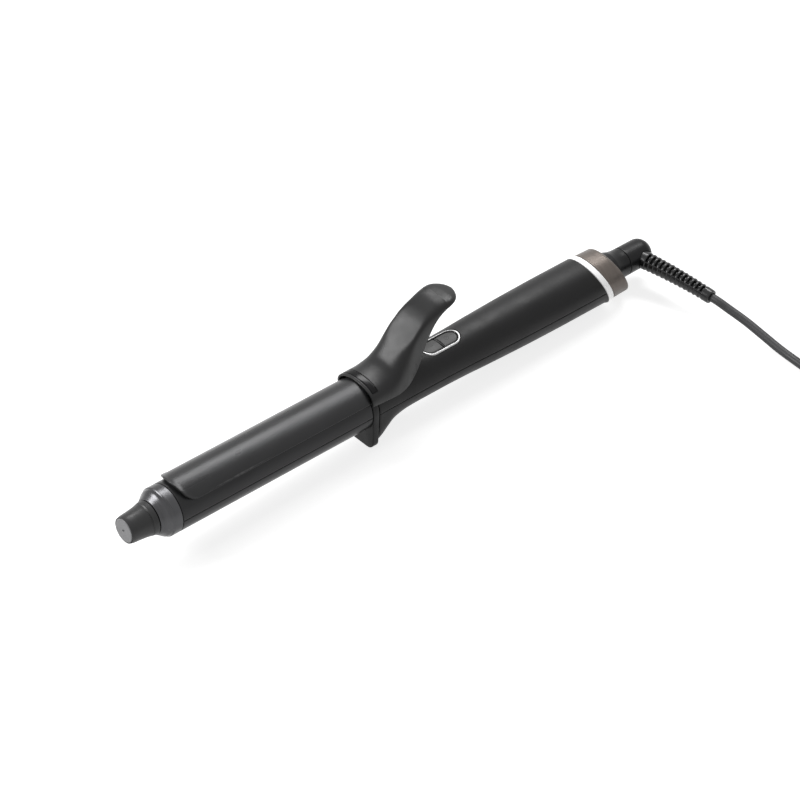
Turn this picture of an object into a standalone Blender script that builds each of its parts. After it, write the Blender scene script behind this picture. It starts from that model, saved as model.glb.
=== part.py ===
"""A corded curling tong with a spring lever clamp, lying on its stand foot and its heel.

The tong is modelled along X in its own frame: the tip points to -X, the cord swivel to +X, the lever
is on top (+Z). The frame is then tipped by a small angle, so that the stand foot and the heel both
rest on the ground plane. Free cord, coil and plug are modelled on the ground in world coordinates.
"""
import math

import bmesh
import bpy
import numpy as np
from mathutils import Matrix, Vector

MM = 0.001
DEG = math.pi / 180

# Fits and cuts
GAP = 0.3 * MM
OVERRUN = 3 * MM
ROUND_STEPS = 32
SMALL_STEPS = 16
SHARP_ANGLE = 32 * DEG

# Barrel, split along its sides into two half tubes
BARREL_DIAMETER = 26 * MM
BARREL_WALL = 1.7 * MM
BARREL_LENGTH = 120.4 * MM

# Bright ring and cool tip in front of the barrel
TIP_RING_LENGTH = 5.4 * MM
TIP_RING_CHAMFER = 0.5 * MM
TIP_SPIGOT_LENGTH = 6 * MM
TIP_SHOULDER_LENGTH = 5 * MM
TIP_LENGTH = 14.9 * MM
TIP_GROOVE_DEPTH = 0.35 * MM
TIP_GROOVE_WIDTH = 0.7 * MM
TIP_STEM_DIAMETER = 5.6 * MM
TIP_STEM_LENGTH = 14.3 * MM
TIP_FACE_DIAMETER = 12.8 * MM
TIP_FACE_THICKNESS = 1.5 * MM
TIP_FACE_STAND = 0.3 * MM
TIP_FACE_RIM = 1 * MM
TIP_DIMPLE_DIAMETER = 3 * MM
TIP_DIMPLE_DEPTH = 0.5 * MM
# Along the shoulder or the tip from rear to front, and radius over the barrel's radius
SHOULDER_SHARES = ((0.24, 0.93), (0.525, 0.85), (0.91, 0.745), (1, 0.72))
TIP_OUTLINE_SHARES = ((0, 0.7), (0.13, 0.672), (0.32, 0.625), (0.62, 0.585), (0.905, 0.555), (0.98, 0.53))
TIP_GROOVE_SHARE = 0.2

# Heater in the barrel
CARRIER_WIDTH = 17.6 * MM
CARRIER_SET_BACK = 9 * MM
CARRIER_PLAY = 1.6 * MM
HEATER_MARGIN = 6 * MM
HEATER_WIDTH = 12 * MM
HEATER_THICKNESS = 2.4 * MM
WIRE_WAY_DIAMETER = 4 * MM

# Sleeve that carries the barrel in the handle
SOCKET_IN_BARREL = 19.5 * MM
SOCKET_IN_HANDLE = 14 * MM
SOCKET_NECK_DIAMETER = 19.2 * MM
SOCKET_BORE_DIAMETER = 15.6 * MM

# Stand collar
COLLAR_FRONT_X = -6.2 * MM
COLLAR_THICKNESS = 3.8 * MM
COLLAR_DIAMETER = 26.6 * MM
COLLAR_DEPTH = 21.2 * MM
COLLAR_CORNER = 4.5 * MM

# Handle
HANDLE_LENGTH = 158.7 * MM
HANDLE_FRONT_DIAMETER = 26.6 * MM
HANDLE_NECK_DIAMETER = 25.8 * MM
HANDLE_REAR_DIAMETER = 29.5 * MM
HANDLE_WALL = 2 * MM
HANDLE_NECK_PLACE = 32 * MM
REAR_SLANT = 26.5 * DEG
FAIRING_LENGTH = 28 * MM
FAIRING_DEPTH = 20.9 * MM
# Along the fairing, what is left of its drop under the grip, and the power of its lower outline
FAIRING_SHARES = ((0, 1, 4.5), (0.075, 0.9, 4.2), (0.15, 0.76, 3.8), (0.22, 0.58, 3.4), (0.29, 0.43, 3),
                  (0.39, 0.25, 2.5), (0.54, 0.12, 2.2), (0.78, 0.04, 2), (1, 0, 2))
# Along the grip behind its neck, and what it has swollen from the neck to the rear
GRIP_SHARES = ((0.1, 0), (0.215, 0.12), (0.33, 0.4), (0.53, 0.78), (0.61, 0.88), (0.81, 1), (1, 1))
HEEL_BEHIND = 5 * MM
HEEL_LENGTH = 14 * MM
HEEL_DEPTH = 15.9 * MM
HEEL_SHARES = ((-0.5, 0), (-0.36, 0.4), (-0.2, 0.92), (-0.08, 1), (0.35, 1))
HEEL_POWER = 2.5
HEEL_FLAT = 0.12 * MM
DECK_LENGTH = 29 * MM
DECK_HEIGHT = 11.4 * MM

# Screws that hold the two handle shells together, from below
HANDLE_SCREW_FRONT_X = 32 * MM
HANDLE_SCREW_REAR_AHEAD = 34.6 * MM
SCREW_SHANK_DIAMETER = 2.4 * MM
SCREW_HEAD_DIAMETER = 5 * MM
SCREW_HEAD_HEIGHT = 1.6 * MM
SCREW_SEAT_DEPTH = 9 * MM
SCREW_REACH = 7 * MM
SCREW_BOSS_WALL = 1.6 * MM

# Circuit board and its two switches
BOARD_FRONT_X = 38 * MM
BOARD_BEHIND_GAP = 22 * MM
BOARD_WIDTH = 18 * MM
BOARD_THICKNESS = 1.6 * MM
BOARD_HEIGHT = 2 * MM
POST_DIAMETER = 4 * MM
POST_INSET = 3 * MM
SWITCH_SIDE = 6 * MM
SWITCH_BODY_HEIGHT = 2.2 * MM
SWITCH_HEIGHT = 3.6 * MM
PLUNGER_DIAMETER = 3.2 * MM

# Bezel and buttons
BEZEL_CENTRE_X = 49.1 * MM
BEZEL_LENGTH = 25.4 * MM
BEZEL_WIDTH = 11.8 * MM
BEZEL_RIM = 1 * MM
BEZEL_TOP = 13.1 * MM
BEZEL_DEPTH = 4.2 * MM
BEZEL_FLOOR = 1 * MM
BUTTON_TOP = 12.9 * MM
BUTTON_GAP = 0.35 * MM
BUTTON_SPLIT = 0.5 * MM
BUTTON_TRAVEL = 0.6 * MM
BUTTON_STEM_DIAMETER = 3.2 * MM
BUTTON_STEM_GAP = 0.9 * MM
BUTTON_EDGE = 0.3 * MM
POWER_STEM_X = 54.4 * MM
MODE_STEM_X = 43.8 * MM

# Light ring and end collar, both cut along the rear slant
LIGHT_RING_WIDTH = 3.7 * MM
LIGHT_RING_DIAMETER = 29.2 * MM
LIGHT_RING_STEP = 0.3 * MM
END_COLLAR_LENGTH = 11.6 * MM
END_COLLAR_FRONT_DIAMETER = 29.2 * MM
END_COLLAR_REAR_DIAMETER = 28.6 * MM
END_COLLAR_EDGE = 1.6 * MM
END_SPIGOT_LENGTH = 10 * MM
END_SPIGOT_WALL = 1.6 * MM
# Rounded rear edge of the end collar, over its edge length and depth
EDGE_SHARES = ((0, 0), (0.4, 0.1), (0.75, 0.35), (0.95, 0.7), (1, 1))

# Swivel neck, drum and retaining clip
NECK_BASE_DIAMETER = 19 * MM
NECK_END_DIAMETER = 15.8 * MM
NECK_FRONT_AHEAD = 20.3 * MM
NECK_FLARE_AHEAD = 0.6 * MM
NECK_END_BEHIND = 8.8 * MM
NECK_FLANGE_LENGTH = 2.5 * MM
NECK_WALL = 1.6 * MM
NECK_SHOULDER_LENGTH = 10.5 * MM
# Along the flare, and what is left of its width over the neck's end
FLARE_SHARES = ((0, 1), (0.2, 0.62), (0.42, 0.3), (0.7, 0.08), (1, 0))
DRUM_DIAMETER = 15.8 * MM
DRUM_LENGTH = 19.5 * MM
DRUM_DOME_LENGTH = 6.8 * MM
DRUM_DOME_STEPS = 7
STUB_DIAMETER = 10 * MM
STUB_LENGTH = 15 * MM
STUB_BORE_DIAMETER = 4 * MM
CLIP_GROOVE_DEPTH = 0.8 * MM
CLIP_THICKNESS = 0.9 * MM
CLIP_DIAMETER = 13.4 * MM
CLIP_PLAY = 0.3 * MM
CLIP_MOUTH = 6.5 * MM

# Ribbed strain relief on the drum's side
RELIEF_BEHIND = 9.9 * MM
RELIEF_ROOT_DIAMETER = 10.2 * MM
RELIEF_END_DIAMETER = 7.7 * MM
RELIEF_SEAT = 3 * MM
RELIEF_REACH = 50 * MM
RELIEF_LEAN = 7.9 * MM
RELIEF_DROP = 2.6 * MM
RELIEF_RIBS = 12
RELIEF_SLEEVE = 8 * MM
RELIEF_END_RING = 4.7 * MM
RELIEF_GROOVE = 0.9 * MM

# Lever hinge
PIVOT_X = 22 * MM
PIVOT_Z = 15 * MM
EAR_GAP = 9.2 * MM
EAR_THICKNESS = 2 * MM
EAR_DIAMETER = 6 * MM
PIN_DIAMETER = 2.5 * MM
PIN_LENGTH = 16.8 * MM
LEVER_BOSS_DIAMETER = 6.4 * MM

# Torsion spring on the hinge pin
SPRING_WIRE = 0.9 * MM
SPRING_DIAMETER = 4.5 * MM
SPRING_TURNS = 6
SPRING_PITCH = 1.2 * MM
SPRING_POINTS = 10
SPRING_FOOT_LENGTH = 10 * MM

# Clamp plate
PLATE_OUTER_RADIUS = 15.1 * MM
PLATE_THICKNESS = 1.5 * MM
PLATE_HALF_ANGLE = 54 * DEG
PLATE_TAIL_HALF_ANGLE = 34 * DEG
PLATE_FRONT_X = -125.3 * MM
PLATE_REAR_X = -6.8 * MM
PLATE_TAIL_LENGTH = 15.8 * MM
PLATE_CORNER_LENGTH = 7.9 * MM
PLATE_LIP_LENGTH = 1.4 * MM
PLATE_LIP_RISE = 0.35 * MM
# Over the half angle, and how far the front edge falls back
PLATE_CORNER_SHARES = ((0, 0), (0.45, 0.12), (0.75, 0.32), (0.9, 0.56), (0.97, 0.8), (1, 1))
CLAMP_SCREW_X = 4 * MM
CLAMP_SCREW_SPACING = 6.8 * MM
CLAMP_SCREW_SHANK = 1.6 * MM
CLAMP_SCREW_HEAD = 3.2 * MM
CLAMP_SCREW_HEAD_HEIGHT = 0.9 * MM
CLAMP_SCREW_LENGTH = 3.6 * MM
CLAMP_BOSS_DIAMETER = 3.8 * MM

# Lever
LEVER_FRONT_X = -7.3 * MM
LEVER_LENGTH = 62.8 * MM
LEVER_RIM_HEIGHT = 16.4 * MM
LEVER_TOP_HEIGHT = 46 * MM
LEVER_HALF_WIDTH = 13.6 * MM
LEVER_WALL = 1.6 * MM
LEVER_RIM_WALL = 1 * MM
LEVER_SIDE_WALL = 1.2 * MM
PADDLE_WALL = 2.6 * MM
PADDLE_CAVITY_END = 42 * MM
ARCH_POINTS = 22
# Along the lever; top between rim height and top height; lower edge over the top height;
# half width low and high over the half width; power of the arch; wall between rim and lever wall
LEVER_SHARES = ((0.000, 0.000, 0.170, 1.000, 1.105, 2.1, 0), (0.068, 0.020, 0.157, 0.993, 1.120, 2.1, 0.1),
                (0.136, 0.031, 0.148, 0.985, 1.115, 2.1, 0.3), (0.211, 0.058, 0.140, 0.978, 1.103, 2.2, 0.6),
                (0.274, 0.112, 0.135, 0.971, 1.015, 2.5, 1), (0.330, 0.214, 0.142, 0.949, 0.882, 3.2, 1),
                (0.385, 0.342, 0.157, 0.912, 0.787, 4.5, 1), (0.441, 0.461, 0.188, 0.853, 0.750, 6, 1),
                (0.496, 0.576, 0.240, 0.779, 0.728, 7, 1), (0.544, 0.685, 0.332, 0.735, 0.713, 7, 1),
                (0.591, 0.780, 0.502, 0.713, 0.713, 6, 1), (0.645, 0.854, 0.659, 0.706, 0.713, 5, 1),
                (0.702, 0.915, 0.779, 0.706, 0.721, 4, 1), (0.765, 0.966, 0.858, 0.713, 0.728, 3.3, 1),
                (0.829, 0.993, 0.904, 0.721, 0.735, 3, 1))
# Round end of the paddle: along its radius, and top and lower edge over the top height
PADDLE_RADIUS = 10 * MM
PADDLE_END_SHARES = ((0.3, 0.996, 0.921), (0.65, 0.987, 0.924), (0.88, 0.976, 0.926), (0.985, 0.965, 0.932))

# Dark insert in the lever's front rim
INSERT_SET_BACK = 1.5 * MM
INSERT_LENGTH = 3.8 * MM
INSERT_WIDTH = 19 * MM
INSERT_LOW = 12 * MM

# Cord
CORD_DIAMETER = 4.7 * MM
CORD_SPACING_SHARE = 2.2
# Places of the free cord after the relief: x and y from the relief's end, and height over the ground
CORD_ROUTE = ((1.8 * MM, -11 * MM, 9.7 * MM), (3.3 * MM, -22 * MM, 7.4 * MM), (3.8 * MM, -34 * MM, 5.1 * MM),
              (3.8 * MM, -47 * MM, 3.2 * MM), (3.6 * MM, -62 * MM, 2.45 * MM))
COIL_MIDDLE_DIAMETER = 56 * MM
COIL_LAYERS = 4
COIL_TURNS = 3.5
COIL_POINTS = 24
COIL_CENTRE_Y = -80.5 * MM
COIL_LINE_X = 3.6 * MM
COIL_PITCH = 5.2 * MM
COIL_FINE_STEPS = 4
COIL_SKIP_SHARE = 0.4
TAIL_ROUTE = ((3.6 * MM, -99.5 * MM, 16.4 * MM), (5.4 * MM, -116.5 * MM, 11.2 * MM),
              (10.6 * MM, -125.8 * MM, 8.6 * MM), (18.4 * MM, -132 * MM, 7 * MM))
PLUG_AT = (33.6 * MM, -134.2 * MM)
PLUG_TURN = 90 * DEG
PLUG_LENGTH = 34 * MM
PLUG_WIDTH = 26 * MM
PLUG_THICKNESS = 13 * MM
PLUG_ENTRY_DIAMETER = 9 * MM
# Along the plug body, and how much of its width and thickness it has
PLUG_SHARES = ((0, 0, 0), (0.12, 0.08, 0.1), (0.3, 0.3, 0.5), (0.5, 0.72, 0.85), (0.68, 0.95, 1), (1, 1, 1))
PLUG_POWER = 3.2
PIN_SPACING = 18.6 * MM
PLUG_PIN_DIAMETER = 4 * MM
PLUG_PIN_LENGTH = 19 * MM
PLUG_PIN_SEAT = 5 * MM

FINISHES = {
    "charcoal_soft": ((0.045, 0.045, 0.048), 0.5, 0.0),
    "barrel_coat": ((0.06, 0.06, 0.063), 0.38, 0.35),
    "tip_plastic": ((0.05, 0.05, 0.052), 0.45, 0.0),
    "satin_metal": ((0.42, 0.42, 0.43), 0.32, 0.8),
    "pale_plastic": ((0.5, 0.5, 0.5), 0.4, 0.0),
    "pewter": ((0.2, 0.175, 0.155), 0.38, 0.6),
    "light_white": ((0.95, 0.95, 0.95), 0.3, 0.0),
    "chrome": ((0.8, 0.8, 0.8), 0.12, 1.0),
    "button_grey": ((0.3, 0.3, 0.3), 0.45, 0.0),
    "gloss_black": ((0.012, 0.012, 0.013), 0.2, 0.0),
    "black_plastic": ((0.02, 0.02, 0.022), 0.4, 0.0),
    "heater_ceramic": ((0.75, 0.73, 0.68), 0.7, 0.0),
    "heat_plastic": ((0.55, 0.45, 0.3), 0.6, 0.0),
    "board_green": ((0.03, 0.16, 0.07), 0.5, 0.0),
    "steel": ((0.55, 0.55, 0.56), 0.3, 1.0),
    "cord_rubber": ((0.02, 0.02, 0.021), 0.5, 0.0),
}

# Sizes that follow from the ones above
BARREL_RADIUS = BARREL_DIAMETER / 2
BARREL_BORE = BARREL_RADIUS - BARREL_WALL
COLLAR_REAR_X = COLLAR_FRONT_X + COLLAR_THICKNESS
HANDLE_FRONT_X = COLLAR_REAR_X + GAP
BARREL_REAR_X = COLLAR_FRONT_X - GAP
BARREL_FRONT_X = BARREL_REAR_X - BARREL_LENGTH
TIP_RING_REAR_X = BARREL_FRONT_X - GAP
TIP_RING_FRONT_X = TIP_RING_REAR_X - TIP_RING_LENGTH
TIP_SHOULDER_FRONT_X = TIP_RING_FRONT_X - TIP_SHOULDER_LENGTH
TIP_REAR_X = TIP_SHOULDER_FRONT_X - GAP
TIP_FRONT_X = TIP_REAR_X - TIP_LENGTH
SOCKET_SHOULDER_X = BARREL_REAR_X - GAP
SOCKET_FRONT_X = SOCKET_SHOULDER_X - SOCKET_IN_BARREL
CARRIER_FRONT_X = BARREL_FRONT_X + CARRIER_SET_BACK
CARRIER_LENGTH = SOCKET_FRONT_X - CARRIER_PLAY - CARRIER_FRONT_X
HEATER_LENGTH = CARRIER_LENGTH - 2 * HEATER_MARGIN
SOCKET_WAY = SOCKET_NECK_DIAMETER / 2 + GAP
SLOPE = math.tan(REAR_SLANT)
HANDLE_REAR_C = HANDLE_FRONT_X + HANDLE_LENGTH
HEEL_PLACE = HANDLE_REAR_C + HEEL_BEHIND
HANDLE_SCREW_REAR_X = HANDLE_REAR_C - HANDLE_SCREW_REAR_AHEAD
BOARD_LENGTH = HANDLE_SCREW_REAR_X - BOARD_BEHIND_GAP - BOARD_FRONT_X
SLANT_GAP = GAP / math.cos(REAR_SLANT)
LIGHT_FRONT_C = HANDLE_REAR_C + SLANT_GAP
LIGHT_REAR_C = LIGHT_FRONT_C + LIGHT_RING_WIDTH
COLLAR_FRONT_C = LIGHT_REAR_C + SLANT_GAP
COLLAR_REAR_C = COLLAR_FRONT_C + END_COLLAR_LENGTH
NECK_FRONT_X = COLLAR_REAR_C - NECK_FRONT_AHEAD
NECK_FLARE_X = COLLAR_REAR_C - NECK_FLARE_AHEAD
NECK_END_X = COLLAR_REAR_C + NECK_END_BEHIND
REAR_BORE = HANDLE_REAR_DIAMETER / 2 - HANDLE_WALL
END_SPIGOT_RADIUS = REAR_BORE - GAP
NECK_WAY = NECK_BASE_DIAMETER / 2 + GAP
STUB_WAY = STUB_DIAMETER / 2 + GAP
DRUM_FRONT_X = NECK_END_X + GAP
DRUM_END_X = DRUM_FRONT_X + DRUM_LENGTH
RELIEF_ROOT_X = DRUM_FRONT_X + RELIEF_BEHIND
CORD_RADIUS = CORD_DIAMETER / 2
COIL_HALF_BAND = COIL_TURNS * COIL_PITCH / 2
COIL_OUTER = COIL_MIDDLE_DIAMETER / 2 + COIL_HALF_BAND
COIL_CENTRE_X = COIL_LINE_X + COIL_OUTER
FACE_FRONT_X = TIP_FRONT_X - TIP_FACE_STAND

# How the tong rests: its frame turns about Y until foot and heel touch the ground
REST_TILT = math.atan2(COLLAR_DEPTH - HEEL_DEPTH + HEEL_FLAT, HEEL_PLACE - COLLAR_REAR_X)
REST_LIFT = COLLAR_REAR_X * math.sin(REST_TILT) + COLLAR_DEPTH * math.cos(REST_TILT)
REST_SHIFT = -(FACE_FRONT_X + DRUM_END_X) / 2 * math.cos(REST_TILT)


def clean_scene():
    """Remove every object of the open scene."""
    for item in list(bpy.data.objects):
        bpy.data.objects.remove(item, do_unlink=True)


def make_collection(name):
    """Return a new collection linked to the scene."""
    group = bpy.data.collections.new(name)
    bpy.context.scene.collection.children.link(group)
    return group


clean_scene()
PARTS = make_collection("curling_tong")
CUTTERS = make_collection("cutters")


def make_empty(name, place, parent=None):
    """Return an empty that marks a frame or a joint axis."""
    empty = bpy.data.objects.new(name, None)
    empty.location = place
    empty.parent = parent
    PARTS.objects.link(empty)
    return empty


TONG = make_empty("tong_frame", (REST_SHIFT, 0, REST_LIFT))
TONG.rotation_euler = (0, REST_TILT, 0)
GROUND = make_empty("ground_frame", (0, 0, 0))
LEVER_AXIS = make_empty("lever_axis", (PIVOT_X, 0, PIVOT_Z), TONG)
SWIVEL_AXIS = make_empty("swivel_axis", (DRUM_FRONT_X, 0, 0), TONG)


def to_ground(point):
    """Return a point of the tong's frame in the ground frame."""
    x, y, z = point
    turned_x = x * math.cos(REST_TILT) + z * math.sin(REST_TILT)
    turned_z = z * math.cos(REST_TILT) - x * math.sin(REST_TILT)
    return Vector((turned_x + REST_SHIFT, y, turned_z + REST_LIFT))


def finish_material(name):
    """Return the Principled material of a finish, made once."""
    if name in bpy.data.materials:
        return bpy.data.materials[name]
    colour, roughness, metallic = FINISHES[name]
    material = bpy.data.materials.new(name)
    material.use_nodes = True
    shader = material.node_tree.nodes["Principled BSDF"]
    shader.inputs["Base Color"].default_value = (*colour, 1)
    shader.inputs["Roughness"].default_value = roughness
    shader.inputs["Metallic"].default_value = metallic
    return material


def add_object(name, data, finish=None, frame=None):
    """Link a mesh or curve as a piece with a finish, or as a cutter without one.

    Its data are in the frame of the tong or the ground; a joint's empty keeps them in place.
    """
    item = bpy.data.objects.new(name, data)
    frame = frame or TONG
    item.parent = frame
    if frame.parent:
        item.location = -frame.location
    if finish:
        data.materials.append(finish_material(finish))
        PARTS.objects.link(item)
    else:
        item.hide_render = True
        item.display_type = "WIRE"
        CUTTERS.objects.link(item)
    return item


def mesh_from(build):
    """Return a mesh that a function fills through bmesh, smooth but for its sharp edges."""
    mesh = bpy.data.meshes.new("shape")
    work = bmesh.new()
    build(work)
    work.to_mesh(mesh)
    work.free()
    mesh.shade_smooth()
    mesh.set_sharp_from_angle(angle=SHARP_ANGLE)
    return mesh


def block(name, low, high, finish=None, frame=None):
    """Return a box between two corners."""
    low, high = Vector(low), Vector(high)

    def build(work):
        bmesh.ops.create_cube(work, size=1)
        bmesh.ops.scale(work, vec=high - low, verts=work.verts)
        bmesh.ops.translate(work, vec=(low + high) / 2, verts=work.verts)

    return add_object(name, mesh_from(build), finish, frame)


AXIS_TURNS = {"X": (0, math.pi / 2, 0), "Y": (-math.pi / 2, 0, 0), "Z": (0, 0, 0)}


def turn_to(item, axis):
    """Turn an object so that its Z lies along an axis of the frame."""
    item.rotation_euler = AXIS_TURNS[axis]


def rod(name, radius, start, length, axis, finish=None, steps=SMALL_STEPS, frame=None):
    """Return a cylinder that starts at a point and runs along an axis."""

    def build(work):
        bmesh.ops.create_cone(work, cap_ends=True, segments=steps, radius1=radius, radius2=radius,
                              depth=length)
        bmesh.ops.translate(work, vec=(0, 0, length / 2), verts=work.verts)

    item = add_object(name, mesh_from(build), finish, frame)
    turn_to(item, axis)
    item.location = item.location + Vector(start)
    return item


def turned(name, outline, finish=None, at=(0, 0, 0), axis="X", steps=ROUND_STEPS, frame=None):
    """Return a turned piece from an outline of (place along the axis, radius) points.

    The outline closes on itself, or on the axis where its first and last radius are zero.
    """
    closed = outline[0][1] > 0 or outline[-1][1] > 0
    following = outline[1:] + outline[:1]
    area = sum(r1 * a2 - r2 * a1 for (a1, r1), (a2, r2) in zip(outline, following))
    ordered = list(reversed(outline)) if area > 0 else list(outline)
    mesh = bpy.data.meshes.new("outline")
    corners = [(radius, 0, along) for along, radius in ordered]
    edges = [(i, i + 1) for i in range(len(corners) - 1)]
    if closed:
        edges.append((len(corners) - 1, 0))
    mesh.from_pydata(corners, edges, [])
    item = add_object(name, mesh, finish, frame)
    turn_to(item, axis)
    item.location = item.location + Vector(at)
    screw = item.modifiers.new("turn", "SCREW")
    screw.steps = steps
    screw.render_steps = steps
    screw.use_merge_vertices = True
    screw.merge_threshold = MM / 100
    screw.use_smooth_shade = True
    return item


def cut(item, cutter, operation="DIFFERENCE", solver="EXACT"):
    """Cut, join or meet a piece with another solid."""
    boolean = item.modifiers.new(cutter.name, "BOOLEAN")
    boolean.operation = operation
    boolean.object = cutter
    boolean.solver = solver


def loft(name, rings, finish=None, frame=None):
    """Return a solid that runs through rings of points, capped at both ends."""

    def build(work):
        rows = [[work.verts.new(point) for point in ring] for ring in rings]
        count = len(rows[0])
        for row, after in zip(rows, rows[1:]):
            for i in range(count):
                j = (i + 1) % count
                work.faces.new((row[i], row[j], after[j], after[i]))
        work.faces.new(list(reversed(rows[0])))
        work.faces.new(rows[-1])
        bmesh.ops.recalc_face_normals(work, faces=work.faces)

    return add_object(name, mesh_from(build), finish, frame)


def as_mesh(item, finish=None):
    """Replace an object by the mesh it evaluates to, with its loose caps joined."""
    bpy.context.view_layer.update()
    graph = bpy.context.evaluated_depsgraph_get()
    mesh = bpy.data.meshes.new_from_object(item.evaluated_get(graph))
    work = bmesh.new()
    work.from_mesh(mesh)
    bmesh.ops.remove_doubles(work, verts=work.verts, dist=MM / 1000)
    bmesh.ops.recalc_face_normals(work, faces=work.faces)
    work.to_mesh(mesh)
    work.free()
    name, parent, matrix = item.name, item.parent, item.matrix_world.copy()
    bpy.data.objects.remove(item, do_unlink=True)
    mesh.materials.clear()
    solid = add_object(name, mesh, finish, parent)
    solid.matrix_world = matrix
    return solid


def outline_plate(name, loops, thickness, at, turn, finish=None):
    """Return a flat plate from closed outlines, the first filled and the rest as holes."""
    curve = bpy.data.curves.new(name, "CURVE")
    curve.dimensions = "2D"
    curve.fill_mode = "BOTH"
    curve.extrude = thickness / 2
    for loop in loops:
        spline = curve.splines.new("POLY")
        spline.points.add(len(loop) - 1)
        for point, (u, v) in zip(spline.points, loop):
            point.co = (u, v, 0, 1)
        spline.use_cyclic_u = True
    item = add_object(name, curve)
    item.location = at
    item.rotation_euler = turn
    return as_mesh(item, finish)


def tube(name, points, radii, sides_level, finish=None, frame=None):
    """Return a tube along points, with a radius at each point."""
    curve = bpy.data.curves.new(name, "CURVE")
    curve.dimensions = "3D"
    curve.bevel_depth = 1
    curve.bevel_resolution = sides_level
    curve.use_fill_caps = True
    spline = curve.splines.new("POLY")
    spline.points.add(len(points) - 1)
    for target, point, radius in zip(spline.points, points, radii):
        target.co = (*point, 1)
        target.radius = radius
    return add_object(name, curve, finish, frame)


def arc(centre, radius, start, end, steps):
    """Return points along an arc, both ends included."""
    angles = [start + (end - start) * i / steps for i in range(steps + 1)]
    return [(centre[0] + radius * math.cos(a), centre[1] + radius * math.sin(a)) for a in angles]


def smooth_route(places, spacing):
    """Return points at even steps along a smooth curve through the given places."""
    places = [np.array(place) for place in places]
    padded = [2 * places[0] - places[1], *places, 2 * places[-1] - places[-2]]
    fine = []
    for p0, p1, p2, p3 in zip(padded, padded[1:], padded[2:], padded[3:]):
        for t in np.linspace(0, 1, 24, endpoint=False):
            bend = 2 * p0 - 5 * p1 + 4 * p2 - p3
            twist = 3 * p1 - p0 - 3 * p2 + p3
            fine.append((2 * p1 + (p2 - p0) * t + bend * t * t + twist * t * t * t) / 2)
    fine.append(places[-1])
    fine = np.array(fine)
    along = np.r_[0, np.cumsum(np.linalg.norm(np.diff(fine, axis=0), axis=1))]
    count = max(2, round(along[-1] / spacing) + 1)
    even = np.linspace(0, along[-1], count)
    return np.array([[np.interp(s, along, fine[:, k]) for k in range(3)] for s in even])


def half_space(name, upper):
    """Return a cutter that fills the space above or below the seam of a shell."""
    reach = HANDLE_LENGTH + BARREL_LENGTH
    tall = COLLAR_DEPTH + DRUM_DIAMETER
    if upper:
        return block(name, (-reach, -tall, -GAP / 2), (reach, tall, tall))
    return block(name, (-reach, -tall, -tall), (reach, tall, GAP / 2))


ABOVE_SEAM = half_space("above_seam", True)
BELOW_SEAM = half_space("below_seam", False)


def make_barrel():
    """Two half tubes that meet along the sides."""
    for name, other_side in (("barrel_upper_half", BELOW_SEAM), ("barrel_lower_half", ABOVE_SEAM)):
        wall = [(BARREL_FRONT_X, BARREL_BORE), (BARREL_FRONT_X, BARREL_RADIUS),
                (BARREL_REAR_X, BARREL_RADIUS), (BARREL_REAR_X, BARREL_BORE)]
        half = turned(name, wall, "barrel_coat")
        cut(half, other_side)


def make_tip():
    """Bright ring with its shoulder, cool tip and face disc, one behind the other on a stem."""
    chamfered = BARREL_RADIUS - TIP_RING_CHAMFER
    stem_way = TIP_STEM_DIAMETER / 2 + GAP
    spigot = BARREL_BORE - GAP
    spigot_end = TIP_RING_REAR_X + TIP_SPIGOT_LENGTH
    shoulder = [(TIP_RING_FRONT_X - along * TIP_SHOULDER_LENGTH, share * BARREL_RADIUS)
                for along, share in reversed(SHOULDER_SHARES)]
    turned("tip_ring", [(TIP_SHOULDER_FRONT_X, stem_way), *shoulder, (TIP_RING_FRONT_X, chamfered),
                        (TIP_RING_FRONT_X + TIP_RING_CHAMFER, BARREL_RADIUS),
                        (TIP_RING_REAR_X, BARREL_RADIUS), (TIP_RING_REAR_X, spigot),
                        (spigot_end, spigot), (spigot_end, stem_way)], "satin_metal")
    outer = [(TIP_REAR_X - along * TIP_LENGTH, share * BARREL_RADIUS) for along, share in TIP_OUTLINE_SHARES]
    groove_x = TIP_REAR_X - TIP_GROOVE_SHARE * TIP_LENGTH
    places = [x for x, radius in reversed(outer)]
    radii = [radius for x, radius in reversed(outer)]
    sides = [(groove_x + TIP_GROOVE_WIDTH, 0), (groove_x + TIP_GROOVE_WIDTH / 2, TIP_GROOVE_DEPTH),
             (groove_x, 0)]
    groove = [(x, np.interp(x, places, radii) - depth) for x, depth in sides]
    outer = sorted(outer + groove, reverse=True)
    face = TIP_FACE_DIAMETER / 2
    floor_x = TIP_FRONT_X + TIP_FACE_THICKNESS - TIP_FACE_STAND + GAP
    stem = TIP_STEM_DIAMETER / 2
    stem_end = TIP_REAR_X + TIP_STEM_LENGTH
    turned("cool_tip", [(stem_end, 0), (stem_end, stem), (TIP_REAR_X, stem), *outer,
                        (TIP_FRONT_X, face + GAP), (floor_x, face + GAP), (floor_x, 0)], "tip_plastic")
    face_rear = FACE_FRONT_X + TIP_FACE_THICKNESS
    dimple = TIP_DIMPLE_DIAMETER / 2
    turned("tip_face", [(face_rear, 0), (face_rear, face), (FACE_FRONT_X + TIP_FACE_STAND, face),
                        (FACE_FRONT_X, face - TIP_FACE_RIM), (FACE_FRONT_X, dimple),
                        (FACE_FRONT_X + TIP_DIMPLE_DEPTH, 0)], "pale_plastic")


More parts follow.
